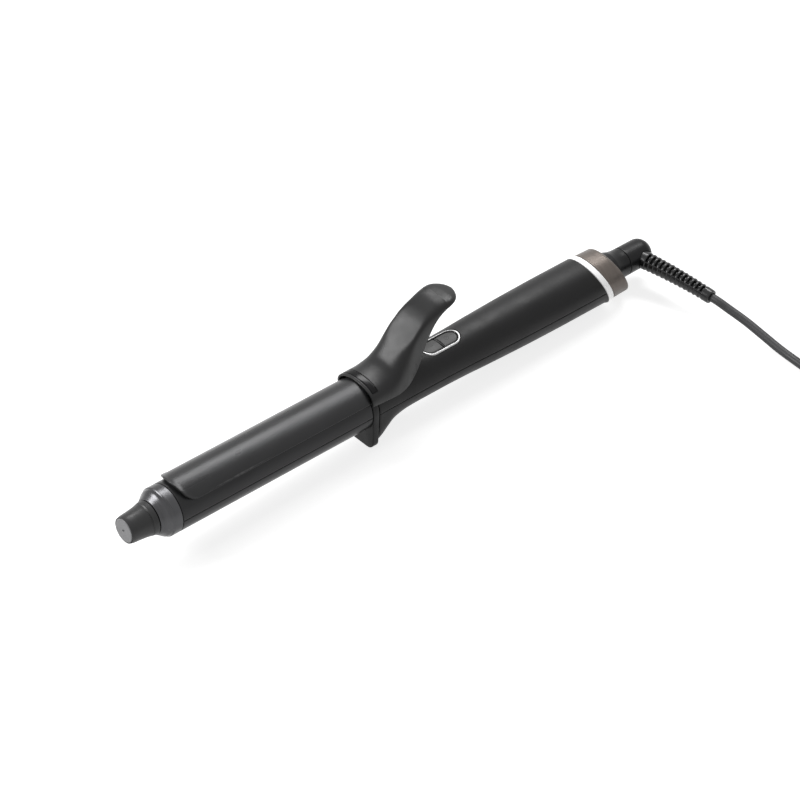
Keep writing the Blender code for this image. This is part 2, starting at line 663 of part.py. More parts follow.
def make_heater():
    """Carrier whose corners bear on the barrel's bore, with a heater plate on each face."""
    reach = BARREL_BORE - GAP
    half_width = CARRIER_WIDTH / 2
    half_height = math.sqrt(reach ** 2 - half_width ** 2)
    front = CARRIER_FRONT_X
    rear = front + CARRIER_LENGTH
    carrier = block("heater_carrier", (front, -half_width, -half_height), (rear, half_width, half_height),
                    "heat_plastic")
    middle = (front + rear) / 2
    pocket_reach = HEATER_LENGTH / 2 + GAP
    pocket_half = HEATER_WIDTH / 2 + GAP
    pocket_floor = half_height - HEATER_THICKNESS
    for side, name in ((1, "heater_plate_upper"), (-1, "heater_plate_lower")):
        low, high = sorted((side * (pocket_floor - GAP), side * (half_height + OVERRUN)))
        pocket = block(name + "_pocket", (middle - pocket_reach, -pocket_half, low),
                       (middle + pocket_reach, pocket_half, high))
        cut(carrier, pocket)
        low, high = sorted((side * pocket_floor, side * half_height))
        block(name, (middle - HEATER_LENGTH / 2, -HEATER_WIDTH / 2, low),
              (middle + HEATER_LENGTH / 2, HEATER_WIDTH / 2, high), "heater_ceramic")
    wire_way = rod("wire_way", WIRE_WAY_DIAMETER / 2, (front - OVERRUN, 0, 0),
                   CARRIER_LENGTH + 2 * OVERRUN, "X")
    cut(carrier, wire_way)


def make_socket():
    """Stepped sleeve from the barrel through the collar into the handle."""
    wide = BARREL_BORE - GAP
    neck = SOCKET_NECK_DIAMETER / 2
    bore = SOCKET_BORE_DIAMETER / 2
    front = SOCKET_FRONT_X
    rear = HANDLE_FRONT_X + SOCKET_IN_HANDLE
    turned("barrel_socket", [(front, bore), (front, wide), (SOCKET_SHOULDER_X, wide),
                             (SOCKET_SHOULDER_X, neck), (rear, neck), (rear, bore)], "heat_plastic")


def make_collar():
    """Stand collar: round on top, straight sides, flat foot parallel to the ground."""
    radius = COLLAR_DIAMETER / 2
    trimmed = COLLAR_THICKNESS * math.tan(REST_TILT)
    corner_z = COLLAR_CORNER - COLLAR_DEPTH - trimmed
    corner_y = radius - COLLAR_CORNER
    steps = ROUND_STEPS // 8
    shape = arc((0, 0), radius, 0, math.pi, ROUND_STEPS // 2)
    shape += arc((-corner_y, corner_z), COLLAR_CORNER, math.pi, math.pi * 3 / 2, steps)
    shape += arc((corner_y, corner_z), COLLAR_CORNER, math.pi * 3 / 2, math.pi * 2, steps)
    bore = arc((0, 0), SOCKET_WAY, 0, math.pi * 2, ROUND_STEPS)[:-1]
    middle = ((COLLAR_FRONT_X + COLLAR_REAR_X) / 2, 0, 0)
    collar = outline_plate("stand_collar", [shape, bore], COLLAR_THICKNESS, middle,
                           (math.pi / 2, 0, math.pi / 2), "charcoal_soft")
    cut(collar, GROUND_CUTTER)


def handle_radius(x):
    """Return the grip's radius at a place along the handle."""
    span = HANDLE_FRONT_X + HANDLE_LENGTH - HANDLE_NECK_PLACE
    places = [HANDLE_FRONT_X, HANDLE_NECK_PLACE - OVERRUN]
    places += [HANDLE_NECK_PLACE + along * span for along, rise in GRIP_SHARES]
    neck, rear = HANDLE_NECK_DIAMETER / 2, HANDLE_REAR_DIAMETER / 2
    radii = [HANDLE_FRONT_DIAMETER / 2, neck] + [neck + rise * (rear - neck) for along, rise in GRIP_SHARES]
    return float(np.interp(x, places, radii))


def handle_drop(x):
    """Return how far the fairing or the heel hangs under the round grip, and the outline's power."""
    along = (x - HANDLE_FRONT_X) / FAIRING_LENGTH
    table = np.array(FAIRING_SHARES)
    fairing = np.interp(along, table[:, 0], table[:, 1]) * (FAIRING_DEPTH - HANDLE_FRONT_DIAMETER / 2)
    heel_table = np.array(HEEL_SHARES)
    heel_along = (x - HEEL_PLACE) / HEEL_LENGTH
    heel = np.interp(heel_along, heel_table[:, 0], heel_table[:, 1], left=0, right=0)
    drop = fairing + heel * (HEEL_DEPTH - HANDLE_REAR_DIAMETER / 2)
    round_power = FAIRING_SHARES[-1][2]
    return drop, float(np.interp(along, table[:, 0], table[:, 2])) + heel * (HEEL_POWER - round_power)


def handle_ring(x):
    """Return the ring of points of the handle's outer skin at a place along it."""
    radius = handle_radius(x)
    drop, power = handle_drop(x)
    ring = []
    for i in range(ROUND_STEPS):
        angle = 2 * math.pi * i / ROUND_STEPS
        y, z = math.cos(angle), math.sin(angle)
        if z < 0:
            ring.append((x, math.copysign(abs(y) ** (2 / power), y) * radius,
                         -(abs(z) ** (2 / power)) * (radius + drop)))
        else:
            ring.append((x, y * radius, z * radius))
    return ring


def handle_stations():
    """Return the places along the handle where its outline bends."""
    span = HANDLE_FRONT_X + HANDLE_LENGTH - HANDLE_NECK_PLACE
    places = [HANDLE_FRONT_X + along * FAIRING_LENGTH for along, left, power in FAIRING_SHARES]
    places += [HANDLE_NECK_PLACE + along * span for along, rise in GRIP_SHARES[:-1]]
    places += [HEEL_PLACE + along * HEEL_LENGTH for along, rise in HEEL_SHARES]
    places.append(HANDLE_REAR_C + SLOPE * HANDLE_REAR_DIAMETER)
    return sorted(places)


def slanted_block(name, place):
    """Return a cutter that fills all behind a slanted plane across the axis."""
    size = HANDLE_REAR_DIAMETER * 2

    def build(work):
        bmesh.ops.create_cube(work, size=1)
        bmesh.ops.scale(work, vec=(size, size, size), verts=work.verts)
        bmesh.ops.translate(work, vec=(size / 2, 0, 0), verts=work.verts)

    item = add_object(name, mesh_from(build))
    item.location = (place, 0, 0)
    item.rotation_euler = (0, -REAR_SLANT, 0)
    return item


def make_cavity():
    """Return the cutter of the hollow inside both handle shells."""
    front = HANDLE_FRONT_X - OVERRUN
    rear = HANDLE_REAR_C + SLOPE * HANDLE_REAR_DIAMETER
    deck_end = HANDLE_FRONT_X + DECK_LENGTH
    places = [x for x in handle_stations() if deck_end < x < HEEL_PLACE - HEEL_LENGTH]
    inner = [(x, handle_radius(x) - HANDLE_WALL) for x in places]
    first = handle_radius(deck_end) - HANDLE_WALL
    return turned("handle_cavity", [(front, 0), (front, SOCKET_WAY), (deck_end, SOCKET_WAY),
                                    (deck_end + GAP, first), *inner, (rear, REAR_BORE), (rear, 0)])


def make_ear(side):
    """Return one pivot ear as a plate with a round top."""
    radius = EAR_DIAMETER / 2
    base = handle_radius(PIVOT_X) - DECK_HEIGHT
    foot = DECK_HEIGHT - HANDLE_WALL / 2 - base / 2 - PIVOT_Z
    shape = arc((0, 0), radius, 0, math.pi, SMALL_STEPS // 2)
    shape += [(-radius, foot), (radius, foot)]
    place = (PIVOT_X, side * (EAR_GAP + EAR_THICKNESS) / 2, PIVOT_Z)
    return outline_plate("ear_right" if side < 0 else "ear_left", [shape], EAR_THICKNESS, place,
                         (math.pi / 2, 0, 0))


def oval(length, width, steps=9):
    """Return a slot outline with round ends about the origin."""
    reach = (length - width) / 2
    return (arc((reach, 0), width / 2, -math.pi / 2, math.pi / 2, steps)
            + arc((-reach, 0), width / 2, math.pi / 2, math.pi * 3 / 2, steps))


def oval_plate(name, length, width, low, high, finish=None):
    """Return an upright oval block over the bezel's centre."""
    place = (BEZEL_CENTRE_X, 0, (low + high) / 2)
    return outline_plate(name, [oval(length, width)], high - low, place, (0, 0, 0), finish)


def make_upper_shell(cavity, rear_cut):
    """Upper handle shell with deck, pivot ears, screw bosses and the bezel's hole."""
    shell = loft("handle_upper_shell", [handle_ring(x) for x in handle_stations()], "charcoal_soft")
    deck_end = HANDLE_FRONT_X + DECK_LENGTH
    wide = HANDLE_FRONT_DIAMETER
    deck = block("deck_cut", (HANDLE_FRONT_X - OVERRUN, -wide, DECK_HEIGHT), (deck_end, wide, wide))
    cut(shell, deck)
    cut(shell, cavity)
    boss_radius = SCREW_SHANK_DIAMETER / 2 + GAP + SCREW_BOSS_WALL
    for x in (HANDLE_SCREW_FRONT_X, HANDLE_SCREW_REAR_X):
        top = handle_radius(x) - HANDLE_WALL / 2
        cut(shell, rod("upper_boss", boss_radius, (x, 0, 0), top, "Z"), "UNION")
        pilot = SCREW_REACH + GAP
        shank_way = SCREW_SHANK_DIAMETER / 2 + GAP
        cut(shell, rod("upper_pilot", shank_way, (x, 0, -OVERRUN), pilot + OVERRUN, "Z"))
    for side in (-1, 1):
        cut(shell, make_ear(side), "UNION")
    half = EAR_GAP / 2 + EAR_THICKNESS + OVERRUN
    cut(shell, rod("ear_bore", PIN_DIAMETER / 2 + GAP, (PIVOT_X, -half, PIVOT_Z), 2 * half, "Y"))
    hole = oval_plate("bezel_hole", BEZEL_LENGTH + 2 * GAP, BEZEL_WIDTH + 2 * GAP,
                      BOARD_HEIGHT + SWITCH_HEIGHT, BEZEL_TOP + OVERRUN)
    cut(shell, hole)
    cut(shell, rear_cut)
    cut(shell, BELOW_SEAM)


def make_lower_shell(cavity, rear_cut):
    """Lower handle shell with the fairing, the heel, screw bosses and board posts."""
    shell = loft("handle_lower_shell", [handle_ring(x) for x in handle_stations()], "charcoal_soft")
    cut(shell, cavity)
    cut(shell, rear_cut)
    cut(shell, ABOVE_SEAM)
    shank_way = SCREW_SHANK_DIAMETER / 2 + GAP
    head_way = SCREW_HEAD_DIAMETER / 2 + GAP
    for x in (HANDLE_SCREW_FRONT_X, HANDLE_SCREW_REAR_X):
        deep = handle_radius(x) - HANDLE_WALL / 2
        boss = rod("lower_boss", head_way + SCREW_BOSS_WALL / 2, (x, 0, -deep), deep - GAP / 2, "Z")
        cut(shell, boss, "UNION")
        cut(shell, rod("lower_bore", shank_way, (x, 0, -deep), deep + OVERRUN, "Z"))
        well = rod("screw_well", head_way, (x, 0, -SCREW_SEAT_DEPTH - HANDLE_REAR_DIAMETER),
                   HANDLE_REAR_DIAMETER, "Z")
        cut(shell, well)
    side = BOARD_WIDTH / 2 - POST_INSET
    for x in (BOARD_FRONT_X + POST_INSET, BOARD_FRONT_X + BOARD_LENGTH - POST_INSET):
        for y in (-side, side):
            skin = math.sqrt(handle_radius(x) ** 2 - (side + POST_DIAMETER / 2) ** 2)
            low = HANDLE_WALL / 2 - skin
            cut(shell, rod("board_post", POST_DIAMETER / 2, (x, y, low), BOARD_HEIGHT - GAP - low, "Z",
                           steps=SMALL_STEPS // 2), "UNION")
    cut(shell, GROUND_CUTTER)


def make_handle_screws():
    """Two pan head screws that come up through the lower shell."""
    head = SCREW_HEAD_DIAMETER / 2
    shank = SCREW_SHANK_DIAMETER / 2
    seat = -SCREW_SEAT_DEPTH - GAP
    low = seat - SCREW_HEAD_HEIGHT
    screws = (("handle_screw_front", HANDLE_SCREW_FRONT_X), ("handle_screw_rear", HANDLE_SCREW_REAR_X))
    for name, x in screws:
        turned(name, [(low, 0), (low, head * 2 / 3), (low + SCREW_HEAD_HEIGHT / 2, head), (seat, head),
                      (seat, shank), (SCREW_REACH, shank), (SCREW_REACH, 0)], "steel", (x, 0, 0), "Z",
               SMALL_STEPS)


def make_electronics():
    """Circuit board on its posts, with a switch under each button."""
    rear = BOARD_FRONT_X + BOARD_LENGTH
    top = BOARD_HEIGHT + BOARD_THICKNESS
    block("circuit_board", (BOARD_FRONT_X, -BOARD_WIDTH / 2, BOARD_HEIGHT), (rear, BOARD_WIDTH / 2, top),
          "board_green")
    low = top + GAP
    half = SWITCH_SIDE / 2
    for name, x in (("power_switch", POWER_STEM_X), ("mode_switch", MODE_STEM_X)):
        top = low + SWITCH_BODY_HEIGHT
        switch = block(name, (x - half, -half, low), (x + half, half, top), "black_plastic")
        plunger = rod(name + "_plunger", PLUNGER_DIAMETER / 2, (x, 0, low + SWITCH_BODY_HEIGHT / 2),
                      SWITCH_HEIGHT - SWITCH_BODY_HEIGHT / 2, "Z")
        cut(switch, plunger, "UNION")


def crown(item, height):
    """Round a piece of the panel off along the grip, to a height over the grip's axis."""
    place = (BEZEL_CENTRE_X - BEZEL_LENGTH, 0, 0)
    cut(item, rod(item.name + "_crown", height, place, 2 * BEZEL_LENGTH, "X", steps=2 * ROUND_STEPS),
        "INTERSECT", "MANIFOLD")


def make_bezel():
    """Bright oval tray whose rim follows the round grip."""
    low = BEZEL_TOP - BEZEL_DEPTH
    bezel = oval_plate("button_bezel", BEZEL_LENGTH, BEZEL_WIDTH, low, BEZEL_TOP, "chrome")
    crown(bezel, BEZEL_TOP)
    pocket = oval_plate("bezel_pocket", BEZEL_LENGTH - 2 * BEZEL_RIM, BEZEL_WIDTH - 2 * BEZEL_RIM,
                        low + BEZEL_FLOOR, BEZEL_TOP + OVERRUN)
    cut(bezel, pocket, solver="MANIFOLD")
    for x in (POWER_STEM_X, MODE_STEM_X):
        radius = BUTTON_STEM_DIAMETER / 2 + GAP
        way = rod("stem_way", radius, (x, 0, low - OVERRUN), BEZEL_DEPTH + OVERRUN, "Z")
        cut(bezel, way, solver="MANIFOLD")


def make_buttons():
    """Power button behind and mode button in front, each half of the oval with a stem."""
    switch_top = BOARD_HEIGHT + BOARD_THICKNESS + GAP + SWITCH_HEIGHT
    low = BEZEL_TOP - BEZEL_DEPTH + BEZEL_FLOOR + BUTTON_TRAVEL + GAP
    length = BEZEL_LENGTH - 2 * (BEZEL_RIM + BUTTON_GAP)
    width = BEZEL_WIDTH - 2 * (BEZEL_RIM + BUTTON_GAP)
    for name, side, stem_x in (("power_button", 1, POWER_STEM_X), ("mode_button", -1, MODE_STEM_X)):
        button = oval_plate(name, length, width, low, BUTTON_TOP, "button_grey")
        near = BEZEL_CENTRE_X + side * BUTTON_SPLIT / 2
        far = BEZEL_CENTRE_X - side * BEZEL_LENGTH
        front, rear = sorted((near, far))
        split = block(name + "_split", (front, -width, low - OVERRUN), (rear, width, BUTTON_TOP + OVERRUN))
        cut(button, split)
        crown(button, BUTTON_TOP)
        edge = button.modifiers.new("edge", "BEVEL")
        edge.width = BUTTON_EDGE
        edge.limit_method = "ANGLE"
        edge.angle_limit = math.pi / 3
        bottom = switch_top + BUTTON_STEM_GAP
        stem_length = BUTTON_TOP - BUTTON_EDGE * 2 - bottom
        stem = rod(name + "_stem", BUTTON_STEM_DIAMETER / 2, (stem_x, 0, bottom), stem_length, "Z")
        cut(button, stem, "UNION")


def sheared(item, finish):
    """Slant a turned piece along the handle's rear cut."""
    solid = as_mesh(item, finish)
    shear = Matrix.Identity(4)
    shear[0][2] = -SLOPE
    local = solid.matrix_basis
    solid.data.transform(local.inverted() @ shear @ local)
    return solid


def make_light_ring():
    """White ring between the handle and the end collar."""
    radius = LIGHT_RING_DIAMETER / 2
    bore = END_SPIGOT_RADIUS + GAP
    sheared(turned("light_ring", [(LIGHT_FRONT_C, bore), (LIGHT_FRONT_C, radius), (LIGHT_REAR_C, radius),
                                  (LIGHT_REAR_C, bore)]), "light_white")


def make_end_collar():
    """End collar with a rounded rear edge and a spigot through the light ring."""
    front_radius, rear_radius = END_COLLAR_FRONT_DIAMETER / 2, END_COLLAR_REAR_DIAMETER / 2
    edge_x = COLLAR_REAR_C - END_COLLAR_EDGE
    edge = [(edge_x + along * END_COLLAR_EDGE, rear_radius - depth * END_COLLAR_EDGE)
            for along, depth in EDGE_SHARES]
    spigot_front = COLLAR_FRONT_C - END_SPIGOT_LENGTH
    inner = END_SPIGOT_RADIUS - END_SPIGOT_WALL
    sheared(turned("end_collar", [(spigot_front, inner), (spigot_front, END_SPIGOT_RADIUS),
                                  (COLLAR_FRONT_C, END_SPIGOT_RADIUS), (COLLAR_FRONT_C, front_radius), *edge,
                                  (COLLAR_REAR_C, NECK_WAY), (COLLAR_FRONT_C + END_COLLAR_EDGE, NECK_WAY),
                                  (COLLAR_FRONT_C + END_COLLAR_EDGE, inner)]), "pewter")


def make_neck():
    """Fixed neck: a flange in the end collar, a concave flare and the stub's bearing."""
    base, end = NECK_BASE_DIAMETER / 2, NECK_END_DIAMETER / 2
    flare_length = NECK_END_X - NECK_FLARE_X
    flare = [(NECK_FLARE_X + along * flare_length, end + left * (base - end))
             for along, left in FLARE_SHARES]
    flange = END_SPIGOT_RADIUS - END_SPIGOT_WALL - GAP
    flange_end = NECK_FRONT_X + NECK_FLANGE_LENGTH
    chamber = base - NECK_WALL
    shoulder = NECK_END_X - NECK_SHOULDER_LENGTH
    turned("swivel_neck", [(NECK_FRONT_X, chamber), (NECK_FRONT_X, flange), (flange_end, flange),
                           (flange_end, base), *flare, (NECK_END_X, STUB_WAY), (shoulder, STUB_WAY),
                           (shoulder, chamber)], "black_plastic")


def relief_line(along):
    """Return a point of the relief's centre line, from its root in the drum to its end."""
    lean = RELIEF_LEAN * (5 * along - along * along) / 4
    return Vector((RELIEF_ROOT_X + lean, -along * RELIEF_REACH, -RELIEF_DROP * along * along))


def make_drum():
    """Domed drum with a hollow stub that turns in the neck, and a seat for the relief."""
    radius = DRUM_DIAMETER / 2
    dome_x = DRUM_END_X - DRUM_DOME_LENGTH
    angles = [math.pi / 2 * i / DRUM_DOME_STEPS for i in range(DRUM_DOME_STEPS)]
    dome = [(dome_x + DRUM_DOME_LENGTH * math.sin(a), radius * math.cos(a)) for a in angles]
    stub, bore = STUB_DIAMETER / 2, STUB_BORE_DIAMETER / 2
    stub_front = DRUM_FRONT_X - STUB_LENGTH
    shoulder = NECK_END_X - NECK_SHOULDER_LENGTH
    groove_rear = shoulder - CLIP_PLAY + GAP
    groove_front = groove_rear - CLIP_THICKNESS - 2 * GAP
    groove = stub - CLIP_GROOVE_DEPTH
    drum = turned("swivel_drum", [(stub_front, bore), (stub_front, stub), (groove_front, stub),
                                  (groove_front, groove), (groove_rear, groove), (groove_rear, stub),
                                  (DRUM_FRONT_X, stub), (DRUM_FRONT_X, radius), *dome, (DRUM_END_X, 0),
                                  (dome_x, 0), (dome_x, bore)], "black_plastic", frame=SWIVEL_AXIS)
    seat = relief_root()
    direction = (relief_line(RELIEF_SEAT / RELIEF_REACH) - relief_line(0)).normalized()
    start = seat - direction * GAP
    seat_radius = RELIEF_ROOT_DIAMETER / 2 + GAP
    way = tube("relief_seat", [start, start + direction * radius * 2], [seat_radius] * 2, 4)
    cut(drum, as_mesh(way))
    make_clip(groove_front + GAP)


def make_clip(front):
    """Open clip in the stub's groove, held behind the neck's shoulder."""
    inner = STUB_DIAMETER / 2 - CLIP_GROOVE_DEPTH + GAP
    outer = CLIP_DIAMETER / 2
    rear = front + CLIP_THICKNESS
    clip = turned("retaining_clip", [(front, inner), (front, outer), (rear, outer), (rear, inner)], "steel",
                  steps=SMALL_STEPS * 2, frame=SWIVEL_AXIS)
    mouth = block("clip_mouth", (front - OVERRUN, -CLIP_MOUTH / 2, -CLIP_DIAMETER),
                  (rear + OVERRUN, CLIP_MOUTH / 2, 0))
    cut(clip, mouth)


def relief_root():
    """Return the point in the drum's side where the relief is seated."""
    depth = DRUM_DIAMETER / 2 - RELIEF_SEAT
    return relief_line(depth / RELIEF_REACH)


def make_relief():
    """Tapered strain relief: a sleeve, a row of ribs and an end ring."""
    root = (DRUM_DIAMETER / 2 - RELIEF_SEAT) / RELIEF_REACH
    sleeve_end = root + RELIEF_SLEEVE / RELIEF_REACH
    ring_start = 1 - RELIEF_END_RING / RELIEF_REACH
    first, last = RELIEF_ROOT_DIAMETER / 2, RELIEF_END_DIAMETER / 2
    places, radii = [root, sleeve_end], [first, first]
    step = (ring_start - sleeve_end) / (2 * RELIEF_RIBS + 1)
    for i in range(2 * RELIEF_RIBS):
        along = sleeve_end + step * (i + 1)
        taper = first + (last - first) * (along - sleeve_end) / (1 - sleeve_end)
        places.append(along)
        radii.append(taper - RELIEF_GROOVE * ((i + 1) % 2))
    places += [ring_start, 1]
    radii += [last, last]
    tube("strain_relief", [relief_line(place) for place in places], radii, 2, "gloss_black", SWIVEL_AXIS)


def make_pin():
    """Hinge pin through both ears into the lever's bosses."""
    rod("hinge_pin", PIN_DIAMETER / 2, (PIVOT_X, -PIN_LENGTH / 2, PIVOT_Z), PIN_LENGTH, "Y", "steel")


def arch(share_row, shrink=0, drop=0):
    """Return the arch of points across the lever at one station, inset by a wall."""
    x, top, edge, low, high, power = share_row
    low, high = low - shrink, high - shrink
    points = []
    for i in range(ARCH_POINTS + 1):
        angle = math.pi * i / ARCH_POINTS
        up = math.sin(angle) ** (2 / power)
        width = low + (high - low) * up
        side = math.copysign(abs(math.cos(angle)) ** (2 / power), math.cos(angle))
        points.append((x, side * width, edge + (top - edge) * up))
    if drop:
        points = [(x, low, edge - drop), *points, (x, -low, edge - drop)]
    return points


def lever_rows():
    """Return the lever's stations in real sizes, with the wall at each."""
    rows = []
    for along, rise, edge, low, high, power, wall in LEVER_SHARES:
        x = LEVER_FRONT_X + along * LEVER_LENGTH
        top = LEVER_RIM_HEIGHT + rise * (LEVER_TOP_HEIGHT - LEVER_RIM_HEIGHT)
        thick = LEVER_RIM_WALL + wall * (LEVER_WALL - LEVER_RIM_WALL)
        rows.append((x, top, edge * LEVER_TOP_HEIGHT, low * LEVER_HALF_WIDTH, high * LEVER_HALF_WIDTH, power,
                     thick))
    return rows


def lever_roof(x):
    """Return the height of the lever's inner roof at a place along it."""
    rows = lever_rows()
    places = [row[0] for row in rows]
    tops = [row[1] for row in rows]
    walls = [row[6] for row in rows]
    slope = (np.interp(x + MM, places, tops) - np.interp(x - MM, places, tops)) / (2 * MM)
    return float(np.interp(x, places, tops) - np.interp(x, places, walls) * math.hypot(1, slope))


def lever_solids(name, finish):
    """Return the lever's shell: the outer form less the cavity under it."""
    rows = lever_rows()
    outer = [arch(row[:6]) for row in rows]
    last = rows[-1]
    centre = LEVER_FRONT_X + LEVER_LENGTH - PADDLE_RADIUS
    for along, top, edge in PADDLE_END_SHARES:
        width = math.sqrt(1 - along ** 2)
        outer.append(arch((centre + along * PADDLE_RADIUS, top * LEVER_TOP_HEIGHT, edge * LEVER_TOP_HEIGHT,
                           last[3] * width, last[4] * width, last[5])))
    shell = loft(name, outer, finish, LEVER_AXIS)
    inner = []
    for row in rows:
        x, top, edge, low, high, power, wall = row
        if x > PADDLE_CAVITY_END:
            continue
        inner.append(arch((x, lever_roof(x), edge, low, high, power), LEVER_SIDE_WALL, OVERRUN))
    ahead = [(x - OVERRUN, y, z) for x, y, z in inner[0]]
    return shell, loft(name + "_cavity", [ahead, *inner])


def make_lever():
    """Lever with hinge bosses, clamp screw bosses and a slot for its front insert."""
    lever, cavity = lever_solids("lever", "charcoal_soft")
    cut(lever, cavity)
    slot_front = LEVER_FRONT_X + INSERT_SET_BACK
    slot_rear = slot_front + INSERT_LENGTH
    half = INSERT_WIDTH / 2
    slot = block("insert_slot", (slot_front, -half, INSERT_LOW), (slot_rear, half, LEVER_TOP_HEIGHT))
    cut(lever, slot)
    start = EAR_GAP / 2 + EAR_THICKNESS + GAP
    reach = lever_half_width(PIVOT_X + LEVER_BOSS_DIAMETER / 4) - LEVER_SIDE_WALL / 2 - start
    for side in (-1, 1):
        y = start if side > 0 else -start - reach
        cut(lever, rod("hinge_boss", LEVER_BOSS_DIAMETER / 2, (PIVOT_X, y, PIVOT_Z), reach, "Y"), "UNION")
    bore_half = PIN_LENGTH / 2 + GAP
    cut(lever, rod("hinge_bore", PIN_DIAMETER / 2 + GAP, (PIVOT_X, -bore_half, PIVOT_Z), 2 * bore_half, "Y"))
    boss_low = PLATE_OUTER_RADIUS + GAP
    boss_top = lever_roof(CLAMP_SCREW_X) + LEVER_WALL / 2
    for side in (-1, 1):
        place = (CLAMP_SCREW_X, side * CLAMP_SCREW_SPACING / 2, boss_low)
        cut(lever, rod("clamp_boss", CLAMP_BOSS_DIAMETER / 2, place, boss_top - boss_low, "Z"), "UNION")
        cut(lever, clamp_screw_way(side))


def lever_half_width(x):
    """Return the lever's half width at its hinge height."""
    rows = lever_rows()
    places = [row[0] for row in rows]
    return float(np.interp(x, places, [row[3] for row in rows]))


def make_insert():
    """Glossy dark strip let into the lever's front rim."""
    insert, cavity = lever_solids("lever_insert", "gloss_black")
    cut(insert, cavity)
    front = LEVER_FRONT_X + INSERT_SET_BACK + GAP
    rear = front + INSERT_LENGTH - 2 * GAP
    half = INSERT_WIDTH / 2 - GAP
    keep = block("insert_keep", (front, -half, INSERT_LOW + GAP), (rear, half, LEVER_TOP_HEIGHT))
    cut(insert, keep, "INTERSECT")


def clamp_screw_seat():
    """Return the height of the clamp screw's seat under the plate's tail."""
    inner = PLATE_OUTER_RADIUS - PLATE_THICKNESS
    far = CLAMP_SCREW_SPACING / 2 + CLAMP_SCREW_HEAD / 2
    return math.sqrt(inner ** 2 - far ** 2) - GAP


def clamp_screw_way(side):
    """Return the cutter of one clamp screw's shank through plate and boss."""
    seat = clamp_screw_seat()
    place = (CLAMP_SCREW_X, side * CLAMP_SCREW_SPACING / 2, seat - GAP)
    return rod("clamp_screw_way", CLAMP_SCREW_SHANK / 2 + GAP, place, CLAMP_SCREW_LENGTH + 2 * GAP, "Z")


def make_clamp_screws():
    """Two small screws that hold the plate's tail to the lever."""
    head, shank = CLAMP_SCREW_HEAD / 2, CLAMP_SCREW_SHANK / 2
    seat = clamp_screw_seat()
    low = seat - CLAMP_SCREW_HEAD_HEIGHT
    top = seat + CLAMP_SCREW_LENGTH
    for name, side in (("clamp_screw_right", -1), ("clamp_screw_left", 1)):
        turned(name, [(low, 0), (low, head), (seat, head), (seat, shank), (top, shank), (top, 0)], "steel",
               (CLAMP_SCREW_X, side * CLAMP_SCREW_SPACING / 2, 0), "Z", SMALL_STEPS, LEVER_AXIS)


def make_clamp_plate():
    """Curved plate on top of the barrel, with a lip in front and a narrow tail under the lever."""
    columns = 28
    wide = [PLATE_HALF_ANGLE * (2 * i / columns - 1) for i in range(columns + 1)]
    tail = [PLATE_TAIL_HALF_ANGLE * (2 * i / 16 - 1) for i in range(17)]
    angles = sorted([a for a in wide if abs(a) > PLATE_TAIL_HALF_ANGLE] + tail)
    corner = np.array(PLATE_CORNER_SHARES)

    def build(work):
        rows = []
        for angle in angles:
            share = abs(angle) / PLATE_HALF_ANGLE
            front = PLATE_FRONT_X + PLATE_CORNER_LENGTH * np.interp(share, corner[:, 0], corner[:, 1])
            places = [(front, PLATE_LIP_RISE), (front + PLATE_LIP_LENGTH, 0), (PLATE_REAR_X, 0)]
            if abs(angle) < PLATE_TAIL_HALF_ANGLE or math.isclose(abs(angle), PLATE_TAIL_HALF_ANGLE):
                places.append((PLATE_REAR_X + PLATE_TAIL_LENGTH, 0))
            points = [(x, PLATE_OUTER_RADIUS + rise) for x, rise in places]
            rows.append([work.verts.new((x, radius * math.sin(angle), radius * math.cos(angle)))
                         for x, radius in points])
        for row, after in zip(rows, rows[1:]):
            for i in range(min(len(row), len(after)) - 1):
                work.faces.new((row[i], row[i + 1], after[i + 1], after[i]))
        bmesh.ops.recalc_face_normals(work, faces=work.faces)
        if work.faces[0].normal.z < 0:
            bmesh.ops.reverse_faces(work, faces=work.faces)

    plate = add_object("clamp_plate", mesh_from(build), "barrel_coat", LEVER_AXIS)
    thick = plate.modifiers.new("wall", "SOLIDIFY")
    thick.thickness = PLATE_THICKNESS
    thick.offset = -1
    for side in (-1, 1):
        cut(plate, clamp_screw_way(side))


def make_spring():
    """Torsion spring round the pin: one leg up to the lever's roof, one along the deck."""
    radius = SPRING_DIAMETER / 2
    half = SPRING_PITCH * (SPRING_TURNS + 1 / 4) / 2
    wire = SPRING_WIRE / 2
    leg_x = PIVOT_X + radius
    leg_top = lever_roof(leg_x) - GAP - SPRING_WIRE
    points = [(leg_x, -half, leg_top)]
    count = round((SPRING_TURNS + 1 / 4) * SPRING_POINTS)
    for i in range(count + 1):
        turn = (SPRING_TURNS + 1 / 4) * i / count
        angle = -2 * math.pi * turn
        points.append((PIVOT_X + radius * math.cos(angle), 2 * half * i / count - half,
                       PIVOT_Z + radius * math.sin(angle)))
    foot_z = DECK_HEIGHT + GAP + wire
    points.append((PIVOT_X - SPRING_FOOT_LENGTH, half, foot_z))
    tube("torsion_spring", points, [wire] * len(points), 1, "steel")


def coil_point(turn):
    """Return the centre line of the piled coil after a number of turns."""
    layer = min(int(turn / COIL_TURNS), COIL_LAYERS - 1)
    within = turn / COIL_TURNS - layer
    inward = within if layer % 2 == 0 else 1 - within
    radius = COIL_OUTER - inward * 2 * COIL_HALF_BAND
    height = 0
    for step in range(1, COIL_LAYERS):
        rise = np.clip((turn - step * COIL_TURNS) * 2 + 1 / 2, 0, 1)
        height += COIL_PITCH * rise * rise * (3 - 2 * rise)
    angle = math.pi + 2 * math.pi * turn
    return (COIL_CENTRE_X + radius * math.cos(angle), COIL_CENTRE_Y + radius * math.sin(angle),
            CORD_RADIUS + height)


